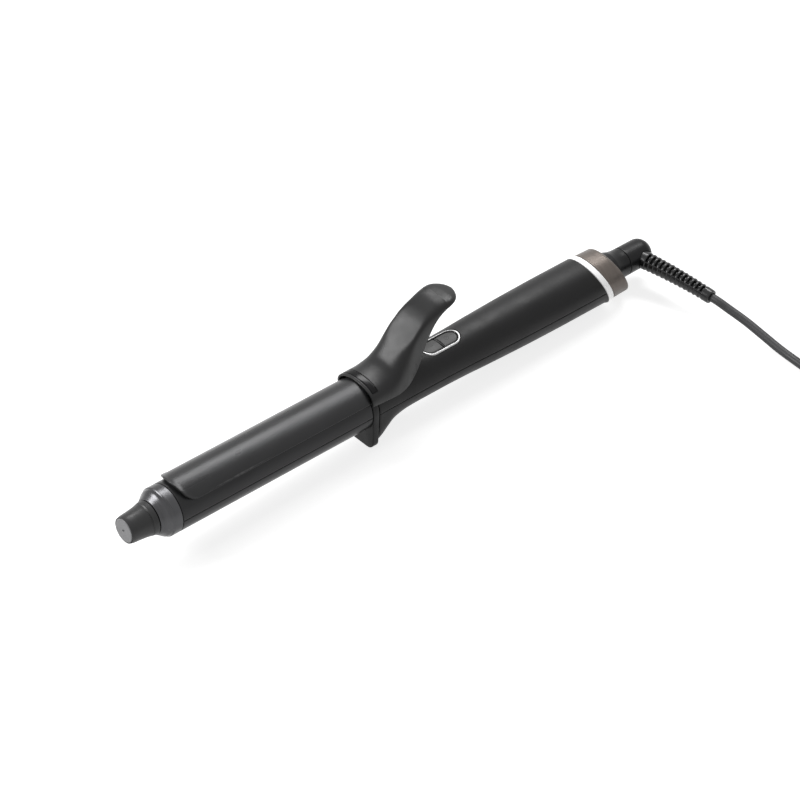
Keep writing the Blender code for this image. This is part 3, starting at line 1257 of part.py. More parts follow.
def least_coil_gap(points):
    """Return the least gap of the coil to itself, measured on fine points of its line."""
    points = np.array(points)
    skip = int(COIL_POINTS * COIL_FINE_STEPS * COIL_SKIP_SHARE)
    least = math.inf
    for i in range(len(points) - skip):
        least = min(least, float(np.linalg.norm(points[i + skip:] - points[i], axis=1).min()))
    return least - CORD_DIAMETER


def make_cord():
    """Free cord from the relief, the piled coil, and the cord's tail to the plug."""
    turns = COIL_LAYERS * COIL_TURNS
    lead = CORD_DIAMETER
    start = Vector(coil_point(0)) + Vector((0, lead, 0))
    end = Vector(coil_point(turns)) - Vector((0, lead, 0))
    count = round(turns * COIL_POINTS)
    coil = [start, *(coil_point(turns * i / count) for i in range(count + 1)), end]
    tube("cord_coil", coil, [CORD_RADIUS] * len(coil), 1, "cord_rubber", LAY)
    fine_count = count * COIL_FINE_STEPS
    fine = [coil_point(turns * i / fine_count) for i in range(fine_count + 1)]
    print("least gap of the coil to itself: %.2f mm" % (least_coil_gap(fine) / MM))
    exit_point = to_ground(relief_line(1)) - LAY.location
    behind = to_ground(relief_line(1 - GAP / RELIEF_REACH)) - LAY.location
    direction = (exit_point - behind).normalized()
    run_start = exit_point + direction * GAP
    run_end = start + Vector((0, GAP, 0))
    run = smooth_route([run_start, run_start + direction * lead, *CORD_ROUTE, run_end + Vector((0, lead, 0)),
                        run_end], CORD_SPACING_SHARE * CORD_DIAMETER)
    tube("cord_run", run, [CORD_RADIUS] * len(run), 2, "cord_rubber", LAY)
    way = Vector((math.sin(PLUG_TURN), -math.cos(PLUG_TURN), 0))
    entry = Vector((PLUG_AT[0], PLUG_AT[1], PLUG_THICKNESS / 2))
    tail_end = entry - way * GAP
    tail_start = end - Vector((0, GAP, 0))
    tail = smooth_route([tail_start, tail_start - Vector((0, lead, 0)), *TAIL_ROUTE, tail_end - way * lead,
                         tail_end], CORD_SPACING_SHARE * CORD_DIAMETER)
    tube("cord_tail", tail, [CORD_RADIUS] * len(tail), 2, "cord_rubber", LAY)


def make_plug():
    """Generic plug with two round pins, lying flat on the ground."""
    across = Vector((math.cos(PLUG_TURN), math.sin(PLUG_TURN), 0))
    way = Vector((math.sin(PLUG_TURN), -math.cos(PLUG_TURN), 0))
    entry = Vector((PLUG_AT[0], PLUG_AT[1], PLUG_THICKNESS / 2))
    rings = []
    for along, wide, thick in PLUG_SHARES:
        half_width = (PLUG_ENTRY_DIAMETER + wide * (PLUG_WIDTH - PLUG_ENTRY_DIAMETER)) / 2
        half_height = (PLUG_ENTRY_DIAMETER + thick * (PLUG_THICKNESS - PLUG_ENTRY_DIAMETER)) / 2
        power = 2 + wide * (PLUG_POWER - 2)
        ring = []
        for i in range(SMALL_STEPS + 4):
            angle = 2 * math.pi * i / (SMALL_STEPS + 4)
            side = math.copysign(abs(math.cos(angle)) ** (2 / power), math.cos(angle)) * half_width
            rise = math.copysign(abs(math.sin(angle)) ** (2 / power), math.sin(angle)) * half_height
            ring.append(entry + way * (along * PLUG_LENGTH) + across * side + Vector((0, 0, rise)))
        rings.append(ring)
    body = loft("plug_body", rings, "black_plastic", LAY)
    radius = PLUG_PIN_DIAMETER / 2
    for name, side in (("plug_pin_right", -1), ("plug_pin_left", 1)):
        root = entry + across * (side * PIN_SPACING / 2) + way * (PLUG_LENGTH - PLUG_PIN_SEAT)
        reach = PLUG_PIN_SEAT + PLUG_PIN_LENGTH
        tip = [root, root + way * (reach - radius), root + way * (reach - radius / 3), root + way * reach]
        tube(name, tip, [radius, radius, radius * 3 / 4, radius / 3], 2, "steel", LAY)
        line = [root - way * GAP, root + way * reach]
        way_cut = tube(name + "_way", line, [radius + GAP] * 2, 2, frame=LAY)
        cut(body, as_mesh(way_cut))


def ground_cutter():
    """Return a cutter that fills all below the ground plane."""
    reach = HANDLE_LENGTH * 2
    return block("below_ground", (-reach, -reach, -COLLAR_DEPTH), (reach, reach, 0), frame=GROUND)


def lay_frame():
    """Return the frame of the free cord: on the ground, under the end of the relief."""
    exit_point = to_ground(relief_line(1))
    return make_empty("cord_frame", (exit_point.x, exit_point.y, 0))


GROUND_CUTTER = ground_cutter()
LAY = lay_frame()


def main():
    """Build the whole tong."""
    make_tip()
    make_barrel()
    make_heater()
    make_socket()
    make_collar()
    cavity = make_cavity()
    rear_cut = slanted_block("handle_rear_cut", HANDLE_REAR_C)
    make_upper_shell(cavity, rear_cut)
    make_lower_shell(cavity, rear_cut)
    make_handle_screws()
    make_electronics()
    make_bezel()
    make_buttons()
    make_light_ring()
    make_end_collar()
    make_neck()
    make_drum()
    make_relief()
    make_pin()
    make_spring()
    make_clamp_plate()
    make_clamp_screws()
    make_lever()
    make_insert()
    make_cord()
    make_plug()
    bpy.context.view_layer.update()


main()
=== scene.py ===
"""Looks of a corded curling tong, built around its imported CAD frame.

The fine meshes are modelled in the tong's own frame (tip to -X, cord swivel to +X, lever up) and are
carried into the row frame by RestPose. The free cord and the plug are modelled on the ground.
"""

import logging
import math
from collections.abc import Callable, Sequence
from dataclasses import dataclass
from enum import Enum
from functools import partial

import bmesh
import bpy
import numpy as np
from bpy.types import ID, Material, Mesh, Node, NodeTree, Object, World
from mathutils import Matrix, Vector
from numpy.typing import ArrayLike


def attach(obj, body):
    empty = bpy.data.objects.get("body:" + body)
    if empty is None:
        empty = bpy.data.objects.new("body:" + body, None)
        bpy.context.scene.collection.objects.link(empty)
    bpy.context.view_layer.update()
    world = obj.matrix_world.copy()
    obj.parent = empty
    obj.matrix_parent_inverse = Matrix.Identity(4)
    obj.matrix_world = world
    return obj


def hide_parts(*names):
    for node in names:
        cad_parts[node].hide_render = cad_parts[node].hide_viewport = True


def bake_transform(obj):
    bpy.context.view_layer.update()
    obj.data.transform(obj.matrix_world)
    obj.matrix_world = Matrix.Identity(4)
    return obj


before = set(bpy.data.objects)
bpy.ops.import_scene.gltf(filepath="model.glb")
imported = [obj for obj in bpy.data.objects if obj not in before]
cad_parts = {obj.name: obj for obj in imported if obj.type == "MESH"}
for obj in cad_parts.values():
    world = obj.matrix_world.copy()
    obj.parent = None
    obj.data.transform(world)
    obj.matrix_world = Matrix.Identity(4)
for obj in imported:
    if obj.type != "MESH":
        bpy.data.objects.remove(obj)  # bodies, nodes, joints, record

LOG = logging.getLogger("curling_tong")
MM = 0.001
GAP = 0.3 * MM
SHARP_ANGLE = math.radians(38)
MERGE = MM / 5000
# Largest share of a side that a fillet takes, and where its support points lie
FILLET_SHARE = 0.46
SUPPORT_SHARE = 0.04
FLAT_CORNER = math.radians(88)
SHELL_STEPS = 72

Flat = tuple[float, float]
Point = tuple[float, float, float]
Output = tuple[Node, str | int]
Values = dict[str | int, float | Sequence[float]]
# Places of the colour sockets of a mix node
MIX_A, MIX_B, MIX_RESULT = 6, 7, 2


class Axis(Enum):
    """Axes that a turned solid can have."""

    X = "X"
    Y = "Y"
    Z = "Z"


class Body(Enum):
    """CAD bodies that the pieces ride on."""

    TONG = "tong_body"
    LEVER = "clamp_lever"
    POWER = "power_button"
    MODE = "mode_button"
    SWIVEL = "cable_swivel"


class Finish(Enum):
    """Finishes of the tong: the record's material slots, and three that share one of them."""

    CHARCOAL = "charcoal_soft"
    LEVER = "lever_soft"
    BARREL = "barrel_coat"
    CLAMP = "clamp_coat"
    TIP = "tip_plastic"
    SATIN = "satin_metal"
    PALE = "pale_plastic"
    PEWTER = "pewter"
    LIGHT = "light_white"
    CHROME = "chrome"
    BUTTON = "button_grey"
    GLOSS = "gloss_black"
    RELIEF = "relief_gloss"
    BLACK = "black_plastic"
    CERAMIC = "heater_ceramic"
    HEAT = "heat_plastic"
    BOARD = "board_green"
    STEEL = "steel"
    RUBBER = "cord_rubber"

    @property
    def slot(self) -> str:
        """Name of the record's material slot."""
        shared = {"lever_soft": "charcoal_soft", "clamp_coat": "barrel_coat", "relief_gloss": "gloss_black"}
        return shared.get(self.value, self.value)


# Curves and outlines


def eased(places: ArrayLike, values: ArrayLike, at: ArrayLike) -> np.ndarray:
    """Return a monotone smooth curve through a table.

    Args:
        places: rising places of the table.
        values: value at each place.
        at: places to read.

    Returns:
        The values at those places, held level beyond the table's ends.
    """
    places, values = np.asarray(places, float), np.asarray(values, float)
    at = np.clip(np.asarray(at, float), places[0], places[-1])
    step = np.diff(places)
    slope = np.diff(values) / step
    bend = np.zeros(len(places))
    bend[0], bend[-1] = slope[0], slope[-1]
    for i in range(1, len(places) - 1):
        if slope[i - 1] * slope[i] > 0:
            before, after = 2 * step[i] + step[i - 1], step[i] + 2 * step[i - 1]
            bend[i] = (before + after) / (before / slope[i - 1] + after / slope[i])
    i = np.clip(np.searchsorted(places, at, side="right") - 1, 0, len(step) - 1)
    t = (at - places[i]) / step[i]
    t2, t3 = t * t, t * t * t
    return ((2 * t3 - 3 * t2 + 1) * values[i] + (t3 - 2 * t2 + t) * step[i] * bend[i]
            + (3 * t2 - 2 * t3) * values[i + 1] + (t3 - t2) * step[i] * bend[i + 1])


def read_table(table: Sequence[Sequence[float]], at: ArrayLike, column: int = 1) -> np.ndarray:
    """Return a column of a table of rows that start with their place, read smoothly at some places."""
    data = np.array(table)
    return eased(data[:, 0], data[:, column], at)


def rounded(corners: Sequence[Point], steps: int = 5) -> np.ndarray:
    """Return an open outline whose inner corners are rounded.

    Args:
        corners: (u, v, fillet radius) of each corner.
        steps: segments in each fillet.

    Returns:
        An array of (u, v) points, with support points beside each fillet.
    """
    points = []
    count = len(corners)
    for i, (u, v, radius) in enumerate(corners):
        here = np.array((u, v), float)
        if radius <= 0 or i in (0, count - 1):
            points.append(here)
            continue
        back = np.array(corners[i - 1][:2], float) - here
        ahead = np.array(corners[i + 1][:2], float) - here
        back_length, ahead_length = np.linalg.norm(back), np.linalg.norm(ahead)
        back, ahead = back / back_length, ahead / ahead_length
        half = math.acos(np.clip(back @ ahead, -1, 1)) / 2
        if half > FLAT_CORNER:
            points.append(here)
            continue
        reach = min(radius / math.tan(half), FILLET_SHARE * back_length, FILLET_SHARE * ahead_length)
        radius = reach * math.tan(half)
        middle = (back + ahead) / np.linalg.norm(back + ahead)
        centre = here + middle * radius / math.sin(half)
        start, end = here + back * reach, here + ahead * reach
        first = math.atan2(*(start - centre)[::-1])
        sweep = math.atan2(*(end - centre)[::-1]) - first
        sweep = (sweep + math.pi) % (2 * math.pi) - math.pi
        points.append(start + back * min(reach / 2, SUPPORT_SHARE * back_length))
        for k in range(steps + 1):
            angle = first + sweep * k / steps
            points.append(centre + radius * np.array((math.cos(angle), math.sin(angle))))
        points.append(end + ahead * min(reach / 2, SUPPORT_SHARE * ahead_length))
    return np.array(points)


def arc(centre: Flat, radius: float, angles: ArrayLike) -> list[Flat]:
    """Return the points of a circle at some angles."""
    return [(centre[0] + radius * math.cos(a), centre[1] + radius * math.sin(a)) for a in angles]


def edge_round(radius: float, count: int = 5) -> list[Flat]:
    """Return a rounded edge as (distance from the end, depth), from the side to the end."""
    return [(radius * (1 - math.sin(t)), radius * (1 - math.cos(t)))
            for t in np.linspace(0, math.pi / 2, count)]


def powered(share: float, power: float) -> float:
    """Return a sine or cosine as an outline of some power has it; 2 is round, more is squarer."""
    return math.copysign(abs(share) ** (2 / power), share)


def slot_outline(length: float, width: float, steps: int = 40) -> np.ndarray:
    """Return a slot outline with round ends about the origin.

    Args:
        length: length over both ends.
        width: width between the straight sides.
        steps: segments in each end.

    Returns:
        A closed, counter-clockwise outline.
    """
    reach, radius = (length - width) / 2, width / 2
    right = np.linspace(-math.pi / 2, math.pi / 2, steps + 1)
    return np.array(arc((reach, 0), radius, right) + arc((-reach, 0), radius, right + math.pi))


def inset(outline: np.ndarray, depth: float) -> np.ndarray:
    """Return an outline moved inwards.

    Args:
        outline: closed, counter-clockwise outline.
        depth: how far each point moves.

    Returns:
        The moved outline.
    """
    ahead = np.roll(outline, -1, axis=0) - outline
    back = outline - np.roll(outline, 1, axis=0)
    ahead = ahead / np.linalg.norm(ahead, axis=1)[:, None]
    back = back / np.linalg.norm(back, axis=1)[:, None]
    along = ahead + back
    along = along / np.linalg.norm(along, axis=1)[:, None]
    normal = np.column_stack((-along[:, 1], along[:, 0]))
    return outline + normal * depth


def smooth_route(places: Sequence[ArrayLike], spacing: float) -> np.ndarray:
    """Return points at even steps along a smooth curve through the given places.

    Args:
        places: points that the curve passes.
        spacing: wanted distance between the points.

    Returns:
        An array of points.
    """
    places = [np.array(place, float) for place in places]
    padded = [2 * places[0] - places[1], *places, 2 * places[-1] - places[-2]]
    fine = []
    for p0, p1, p2, p3 in zip(padded, padded[1:], padded[2:], padded[3:]):
        bend = 2 * p0 - 5 * p1 + 4 * p2 - p3
        twist = 3 * p1 - p0 - 3 * p2 + p3
        fine += [(2 * p1 + (p2 - p0) * t + bend * t * t + twist * t * t * t) / 2
                 for t in np.linspace(0, 1, 24, endpoint=False)]
    fine.append(places[-1])
    return even_points(np.array(fine), spacing)


def even_points(line: np.ndarray, spacing: float) -> np.ndarray:
    """Return a polyline's points again at even steps.

    Args:
        line: points of the polyline.
        spacing: wanted distance between the new points.

    Returns:
        The new points.
    """
    along = np.r_[0, np.cumsum(np.linalg.norm(np.diff(line, axis=0), axis=1))]
    count = max(3, round(along[-1] / spacing) + 1)
    even = np.linspace(0, along[-1], count)
    return np.column_stack([np.interp(even, along, line[:, k]) for k in range(3)])


# Meshes


class Solid:
    """Vertices and faces that are gathered for one mesh."""

    def __init__(self) -> None:
        """Start with no points and no faces."""
        self.points: list[Point] = []
        self.faces: list[tuple[int, ...]] = []

    def grid(self, rows: ArrayLike, close_rows: bool = False, caps: bool = False) -> "Solid":
        """Add a surface through closed rings of points.

        Args:
            rows: array of rings, each with the same number of points.
            close_rows: True where the last ring joins the first.
            caps: True to close the first and last ring with a face.

        Returns:
            This solid.
        """
        rows = np.asarray(rows, float)
        start, (height, width) = len(self.points), rows.shape[:2]
        self.points.extend(map(tuple, rows.reshape(-1, 3)))
        for r in range(height if close_rows else height - 1):
            here, after = start + r * width, start + (r + 1) % height * width
            for c in range(width):
                d = (c + 1) % width
                self.faces.append((here + c, here + d, after + d, after + c))
        if caps:
            self.faces.append(tuple(range(start + width - 1, start - 1, -1)))
            last = start + (height - 1) * width
            self.faces.append(tuple(range(last, last + width)))
        return self

    def lathe(self, outline: ArrayLike, segments: int = 128, slant: float = 0.0, centre: Flat = (0, 0),
              axis: Axis = Axis.X) -> "Solid":
        """Add a turned surface.

        Args:
            outline: (place along the axis, radius) points; closed on itself or on the axis.
            segments: steps around the axis.
            slant: how far the piece leans back per unit of height.
            centre: where the axis is, across itself.
            axis: which way the axis points.

        Returns:
            This solid.
        """
        outline = np.asarray(outline, float)
        angles = np.linspace(0, 2 * math.pi, segments, endpoint=False)
        along = outline[:, 0][:, None] * np.ones(segments)
        first = outline[:, 1][:, None] * np.cos(angles) + centre[0]
        second = outline[:, 1][:, None] * np.sin(angles) + centre[1]
        along = along - slant * second
        order = {Axis.X: (along, first, second), Axis.Y: (first, along, second),
                 Axis.Z: (first, second, along)}
        on_axis = outline[0, 1] == 0 and outline[-1, 1] == 0
        return self.grid(np.stack(order[axis], axis=2), close_rows=not on_axis)

    def stack(self, outline: np.ndarray, levels: Sequence[Flat]) -> "Solid":
        """Add an upright solid from one outline, inset at each level.

        Args:
            outline: closed, counter-clockwise (x, y) outline.
            levels: (height, inset) from the bottom to the top.

        Returns:
            This solid.
        """
        rows = []
        for height, depth in levels:
            ring = inset(outline, depth)
            rows.append(np.column_stack((ring, np.full(len(ring), height))))
        return self.grid(rows, caps=True)

    def tube(self, line: ArrayLike, radii: ArrayLike, sides: int = 24) -> "Solid":
        """Add a tube round a line of points.

        Args:
            line: points of the centre line.
            radii: radius, or one for each point.
            sides: points around the tube.

        Returns:
            This solid.
        """
        line = np.asarray(line, float)
        radii = np.broadcast_to(radii, len(line))
        tangent = np.gradient(line, axis=0)
        tangent /= np.linalg.norm(tangent, axis=1)[:, None]
        across = np.cross(tangent[0], (0, 0, 1))
        across /= np.linalg.norm(across)
        angles = np.linspace(0, 2 * math.pi, sides, endpoint=False)
        rows = []
        for point, way, radius in zip(line, tangent, radii):
            across = across - way * (across @ way)
            across /= np.linalg.norm(across)
            up = np.cross(way, across)
            rows.append([point + radius * (math.cos(a) * across + math.sin(a) * up) for a in angles])
        return self.grid(rows, caps=True)

    def mesh(self, name: str, matrix: Matrix | None = None) -> Mesh:
        """Return a Blender mesh with outward faces and smooth shading.

        Args:
            name: name of the mesh.
            matrix: frame that the points are in.

        Returns:
            The mesh, in the row frame.
        """
        data = bpy.data.meshes.new(name)
        data.from_pydata(self.points, [], self.faces)
        work = bmesh.new()
        work.from_mesh(data)
        bmesh.ops.remove_doubles(work, verts=work.verts, dist=MERGE)
        bmesh.ops.recalc_face_normals(work, faces=work.faces)
        work.to_mesh(data)
        work.free()
        if matrix is not None:
            data.transform(matrix)
        return smoothed(data)


def smoothed(mesh: Mesh) -> Mesh:
    """Shade a mesh smooth, with sharp edges where it turns hard.

    Args:
        mesh: the mesh.

    Returns:
        The same mesh.
    """
    mesh.shade_smooth()
    mesh.set_sharp_from_angle(angle=SHARP_ANGLE)
    return mesh


def baked(item: Object) -> Mesh:
    """Return a plain mesh of an object as its modifiers shape it."""
    bpy.context.view_layer.update()
    return bpy.data.meshes.new_from_object(item.evaluated_get(bpy.context.evaluated_depsgraph_get()))


def linked(name: str, data: ID) -> Object:
    """Return a new object that is linked to the scene.

    Args:
        name: name of the object.
        data: its mesh, camera or light.

    Returns:
        The object.
    """
    item = bpy.data.objects.new(name, data)
    bpy.context.scene.collection.objects.link(item)
    return item


@dataclass(frozen=True)
class RestPose:
    """How the tong rests: its frame turns about Y until foot and heel touch the ground."""

    foot_depth: float = 21.2 * MM
    foot_x: float = -2.4 * MM
    heel_depth: float = 15.9 * MM
    heel_flat: float = 0.12 * MM
    heel_x: float = 161.6 * MM
    front_x: float = -153.1 * MM
    rear_x: float = 201.17 * MM

    @property
    def tilt(self) -> float:
        """Angle of the tong's axis to the ground."""
        return math.atan2(self.foot_depth - self.heel_depth + self.heel_flat, self.heel_x - self.foot_x)

    @property
    def matrix(self) -> Matrix:
        """Matrix from the tong's frame to the row frame."""
        lift = self.foot_x * math.sin(self.tilt) + self.foot_depth * math.cos(self.tilt)
        shift = -(self.front_x + self.rear_x) / 2 * math.cos(self.tilt)
        return Matrix.Translation((shift, 0, lift)) @ Matrix.Rotation(self.tilt, 4, "Y")

    def place(self, point: ArrayLike) -> Vector:
        """Return a point of the tong's frame in the row frame."""
        return self.matrix @ Vector(point)


REST = RestPose()


# Node trees


class Graph:
    """A node tree with short ways to make nodes and to link them."""

    def __init__(self, tree: NodeTree) -> None:
        """Keep the tree."""
        self.tree = tree

    @classmethod
    def group(cls, name: str, kind: str, inputs: dict[str, str], outputs: dict[str, str]) -> "Graph":
        """Return the graph of a new node group, with its input and output nodes.

        Args:
            name: name of the group.
            kind: type of its tree.
            inputs: type of each input socket, by its name.
            outputs: type of each output socket, by its name.

        Returns:
            The graph.
        """
        graph = cls(bpy.data.node_groups.new(name, kind))
        for way, sockets in (("INPUT", inputs), ("OUTPUT", outputs)):
            for label, socket in sockets.items():
                graph.tree.interface.new_socket(label, in_out=way, socket_type="NodeSocket" + socket)
        graph.given, graph.made = graph.node("NodeGroupInput"), graph.node("NodeGroupOutput")
        return graph

    def node(self, kind: str, values: Values | None = None, **settings: str | NodeTree) -> Node:
        """Return a new node.

        Args:
            kind: type of the node.
            values: constants of its inputs, by name or place.
            settings: properties of the node itself.

        Returns:
            The node.
        """
        node = self.tree.nodes.new(kind)
        for name, value in settings.items():
            setattr(node, name, value)
        self.fill(node, values or {})
        return node

    @staticmethod
    def fill(node: Node, values: Values) -> None:
        """Set constants on a node's inputs."""
        for socket, value in values.items():
            node.inputs[socket].default_value = value

    def wire(self, *links: tuple[Node, str | int, Node, str | int]) -> None:
        """Link sockets, each pair given as node, output, node and input."""
        for source, output, target, entry in links:
            self.tree.links.new(source.outputs[output], target.inputs[entry])

    def math(self, operation: str, *values: Output | float) -> Output:
        """Return the output of a math node.

        Args:
            operation: what the node does.
            values: an output or a constant for each of its inputs.

        Returns:
            The output.
        """
        node = self.node("ShaderNodeMath", operation=operation)
        for place, value in enumerate(values):
            if isinstance(value, tuple):
                self.wire((*value, node, place))
            else:
                self.fill(node, {place: value})
        return node, "Value"


# Sub-assemblies


class Assembly:
    """A sub-assembly: it builds its pieces, then dresses them in finishes."""

    def __init__(self, finishes: "FinishLibrary") -> None:
        """Keep the finishes, with no pieces yet."""
        self.finishes = finishes
        self.pieces: list[tuple[Object, Finish]] = []

    def add(self, name: str, mesh: Mesh, finish: Finish, body: Body | None = Body.TONG,
            stands_for: tuple[str, ...] = ()) -> Object:
        """Link a mesh as a piece that rides on a body and stands for CAD nodes.

        Args:
            name: name of the piece.
            mesh: mesh in the row frame.
            finish: finish that it is dressed in.
            body: CAD body that it moves with, or None for a piece that stays where it is made.
            stands_for: CAD nodes that it replaces.

        Returns:
            The object.
        """
        item = linked(name, mesh)
        if body:
            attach(item, body.value)
        if stands_for:
            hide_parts(*stands_for)
        self.pieces.append((item, finish))
        return item

    def put(self, node: str, solid: Solid, finish: Finish, body: Body = Body.TONG) -> None:
        """Add a solid of the tong's frame in the place of one CAD node."""
        name = node + "_fine"
        self.add(name, solid.mesh(name, REST.matrix), finish, body, (node,))

    def build(self) -> None:
        """Make the pieces."""
        raise NotImplementedError

    def dress(self) -> None:
        """Give each piece the material of its finish."""
        for item, finish in self.pieces:
            item.data.materials.clear()
            item.data.materials.append(self.finishes.material(finish))


def carved(name: str, solid: Solid, cutters: Sequence[Solid]) -> Mesh:
    """Return a mesh in the row frame with solids cut out of it.

    Args:
        name: name of the mesh.
        solid: solid that is cut.
        cutters: solids to take away.

    Returns:
        The cut mesh.
    """
    item = linked(name + "_blank", solid.mesh(name, REST.matrix))
    helpers = []
    for i, cutter in enumerate(cutters):
        helper = linked(name + "_cutter", cutter.mesh(name + "_cutter", REST.matrix))
        boolean = item.modifiers.new("cut_%d" % i, "BOOLEAN")
        boolean.object = helper
        boolean.solver = "EXACT"
        helpers.append(helper)
    mesh = baked(item)
    mesh.name = name
    for helper in [item, *helpers]:
        bpy.data.objects.remove(helper, do_unlink=True)
    work = bmesh.new()
    work.from_mesh(mesh)
    bmesh.ops.remove_doubles(work, verts=work.verts, dist=MERGE)
    bmesh.ops.dissolve_degenerate(work, edges=work.edges, dist=MERGE)
    work.to_mesh(mesh)
    work.free()
    return smoothed(mesh)


def box_solid(low: Point, high: Point) -> Solid:
    """Return a box between two corners.

    Args:
        low: lowest corner.
        high: highest corner.

    Returns:
        The box.
    """
    (x0, y0, z0), (x1, y1, z1) = low, high
    rows = [[(x, y0, z0), (x, y1, z0), (x, y1, z1), (x, y0, z1)] for x in (x0, x1)]
    return Solid().grid(rows, caps=True)


@dataclass(frozen=True)
class TipSizes:
    """Sizes of the bright ring, cool tip and face disc."""

    radius: float = 13 * MM
    ring_rear_x: float = -127.2 * MM
    ring_length: float = 5.4 * MM
    ring_chamfer: float = 0.5 * MM
    ring_front_edge: float = 0.35 * MM
    ring_rear_edge: float = 0.25 * MM
    ring_inner: float = 0.6
    bore: float = 11 * MM
    shoulder_length: float = 5 * MM
    shoulder: tuple = ((0, 0.962), (0.24, 0.93), (0.525, 0.85), (0.91, 0.745), (1, 0.72))
    length: float = 14.9 * MM
    outline: tuple = ((0, 0.7), (0.13, 0.672), (0.32, 0.625), (0.62, 0.585), (0.905, 0.555), (0.98, 0.53))
    groove_share: float = 0.2
    groove_depth: float = 0.4 * MM
    groove_width: float = 0.8 * MM
    face_diameter: float = 12.8 * MM
    face_depth: float = 1.5 * MM
    face_stand: float = 0.3 * MM
    dimple_diameter: float = 1.9 * MM
    dimple_depth: float = 0.9 * MM
    dimple_edge: float = 0.3 * MM
    dimple_floor: tuple = (0.8, 0.55)
    face_edge: float = 0.55 * MM


class TipAssembly(Assembly):
    """Bright ring, cool tip and its face disc."""

    sizes = TipSizes()

    def build(self) -> None:
        """Make the three turned pieces."""
        s = self.sizes
        rear = s.ring_rear_x
        front = rear - s.ring_length
        tip_rear = front - s.shoulder_length - GAP
        along = np.linspace(1, 0, 26)
        radii = read_table(s.shoulder, along) * s.radius
        shoulder = list(zip(front - along * s.shoulder_length, radii))
        band = rounded([(front - 0.1 * MM, s.radius * s.shoulder[0][1], 0),
                        (front + s.ring_chamfer, s.radius, s.ring_front_edge),
                        (rear, s.radius, s.ring_rear_edge), (rear, s.bore, 0)])
        inner = s.bore * s.ring_inner
        ring = np.array([(tip_rear + GAP, inner), (tip_rear + GAP, radii[0] - 0.25 * MM),
                         (tip_rear + GAP + 0.07 * MM, radii[0] - 0.06 * MM), *shoulder[1:], *band[1:],
                         (rear, inner)])
        self.put("tip_ring", Solid().lathe(ring), Finish.SATIN)
        self.put("cool_tip", Solid().lathe(self.tip_outline(tip_rear)), Finish.TIP)
        face_front = tip_rear - s.length - s.face_stand
        half, dimple = s.face_diameter / 2, s.dimple_diameter / 2
        deep, narrow = s.dimple_floor
        face = rounded([(face_front + s.face_depth, 0, 0), (face_front + s.face_depth, half, 0),
                        (face_front, half, s.face_edge), (face_front, dimple, s.dimple_edge),
                        (face_front + s.dimple_depth * deep, dimple * narrow, s.dimple_edge),
                        (face_front + s.dimple_depth, 0, 0)])
        self.put("tip_face", Solid().lathe(face, 96), Finish.PALE)

    def tip_outline(self, rear: float) -> np.ndarray:
        """Return the cool tip's outline from its rear to the pocket of its face disc.

        Args:
            rear: where the tip starts.

        Returns:
            The (x, radius) points.
        """
        s = self.sizes
        along = np.linspace(s.outline[0][0], s.outline[-1][0], 90)
        radii = read_table(s.outline, along) * s.radius
        places = rear - along * s.length
        groove = rear - s.groove_share * s.length
        radii = radii - s.groove_depth * np.clip(1 - ((places - groove) / s.groove_width * 2) ** 2, 0, 1)
        front = rear - s.length
        pocket = s.face_diameter / 2 + GAP
        floor = front + s.face_depth - s.face_stand + GAP
        body = [(rear, 0), (rear, radii[0] - 0.4 * MM), (rear - 0.1 * MM, radii[0] - 0.1 * MM)]
        body += list(zip(places[1:], radii[1:]))
        body += [(front, (radii[-1] + pocket) / 2), (front + 0.15 * MM, pocket), (floor, pocket), (floor, 0)]
        return np.array(body)


@dataclass(frozen=True)
class BarrelSizes:
    """Sizes of the split barrel."""

    front_x: float = -126.9 * MM
    rear_x: float = -6.5 * MM
    radius: float = 13 * MM
    wall: float = 1.7 * MM
    edge: float = 0.25 * MM


class Barrel(Assembly):
    """Two half tubes that meet along the barrel's sides."""

    sizes = BarrelSizes()

    def build(self) -> None:
        """Make both halves."""
        s = self.sizes
        for name, side in (("barrel_upper_half", 1), ("barrel_lower_half", -1)):
            rows = []
            for x, shrink in ((s.front_x, s.edge), (s.front_x + 0.3 * s.edge, 0.3 * s.edge),
                              (s.front_x + s.edge, 0), (s.front_x + 3 * s.edge, 0),
                              (s.rear_x - 3 * s.edge, 0), (s.rear_x - s.edge, 0), (s.rear_x, s.edge)):
                ring = half_ring(s.radius - shrink, s.radius - s.wall, s.edge)
                rows.append([(x, y, side * z) for y, z in ring])
            self.put(name, Solid().grid(rows, caps=True), Finish.BARREL)


def half_ring(outer: float, inner: float, edge: float,
              shape: Callable[[float], Flat] | None = None) -> list[Flat]:
    """Return the closed cross-section of a half shell with rounded seam edges.

    Args:
        outer: outer radius.
        inner: inner radius.
        edge: radius of the seam edges.
        shape: function from an angle to the outer (y, z), or None for a round shell.

    Returns:
        A list of (y, z) points, above the seam.
    """
    low = GAP / 2
    start = math.asin(min(1, (low + edge) / outer))
    angles = np.linspace(start, math.pi - start, SHELL_STEPS + 1)
    crest = [shape(a) for a in angles] if shape else arc((0, 0), outer, angles)
    reach = crest[0][0]
    ring = [(reach - edge, low), (reach - 0.3 * edge, low + 0.3 * edge), *crest,
            (0.3 * edge - reach, low + 0.3 * edge), (edge - reach, low)]
    first = math.asin(low / inner)
    ring += [(-inner * math.cos(a), inner * math.sin(a)) for a in np.linspace(first, math.pi - first, 25)]
    return ring


@dataclass(frozen=True)
class CollarSizes:
    """Sizes of the stand collar."""

    front_x: float = -6.2 * MM
    rear_x: float = -2.4 * MM
    radius: float = 13.3 * MM
    depth: float = 21.2 * MM
    corner: float = 4.5 * MM
    bore: float = 9.9 * MM
    edge: float = 0.45 * MM


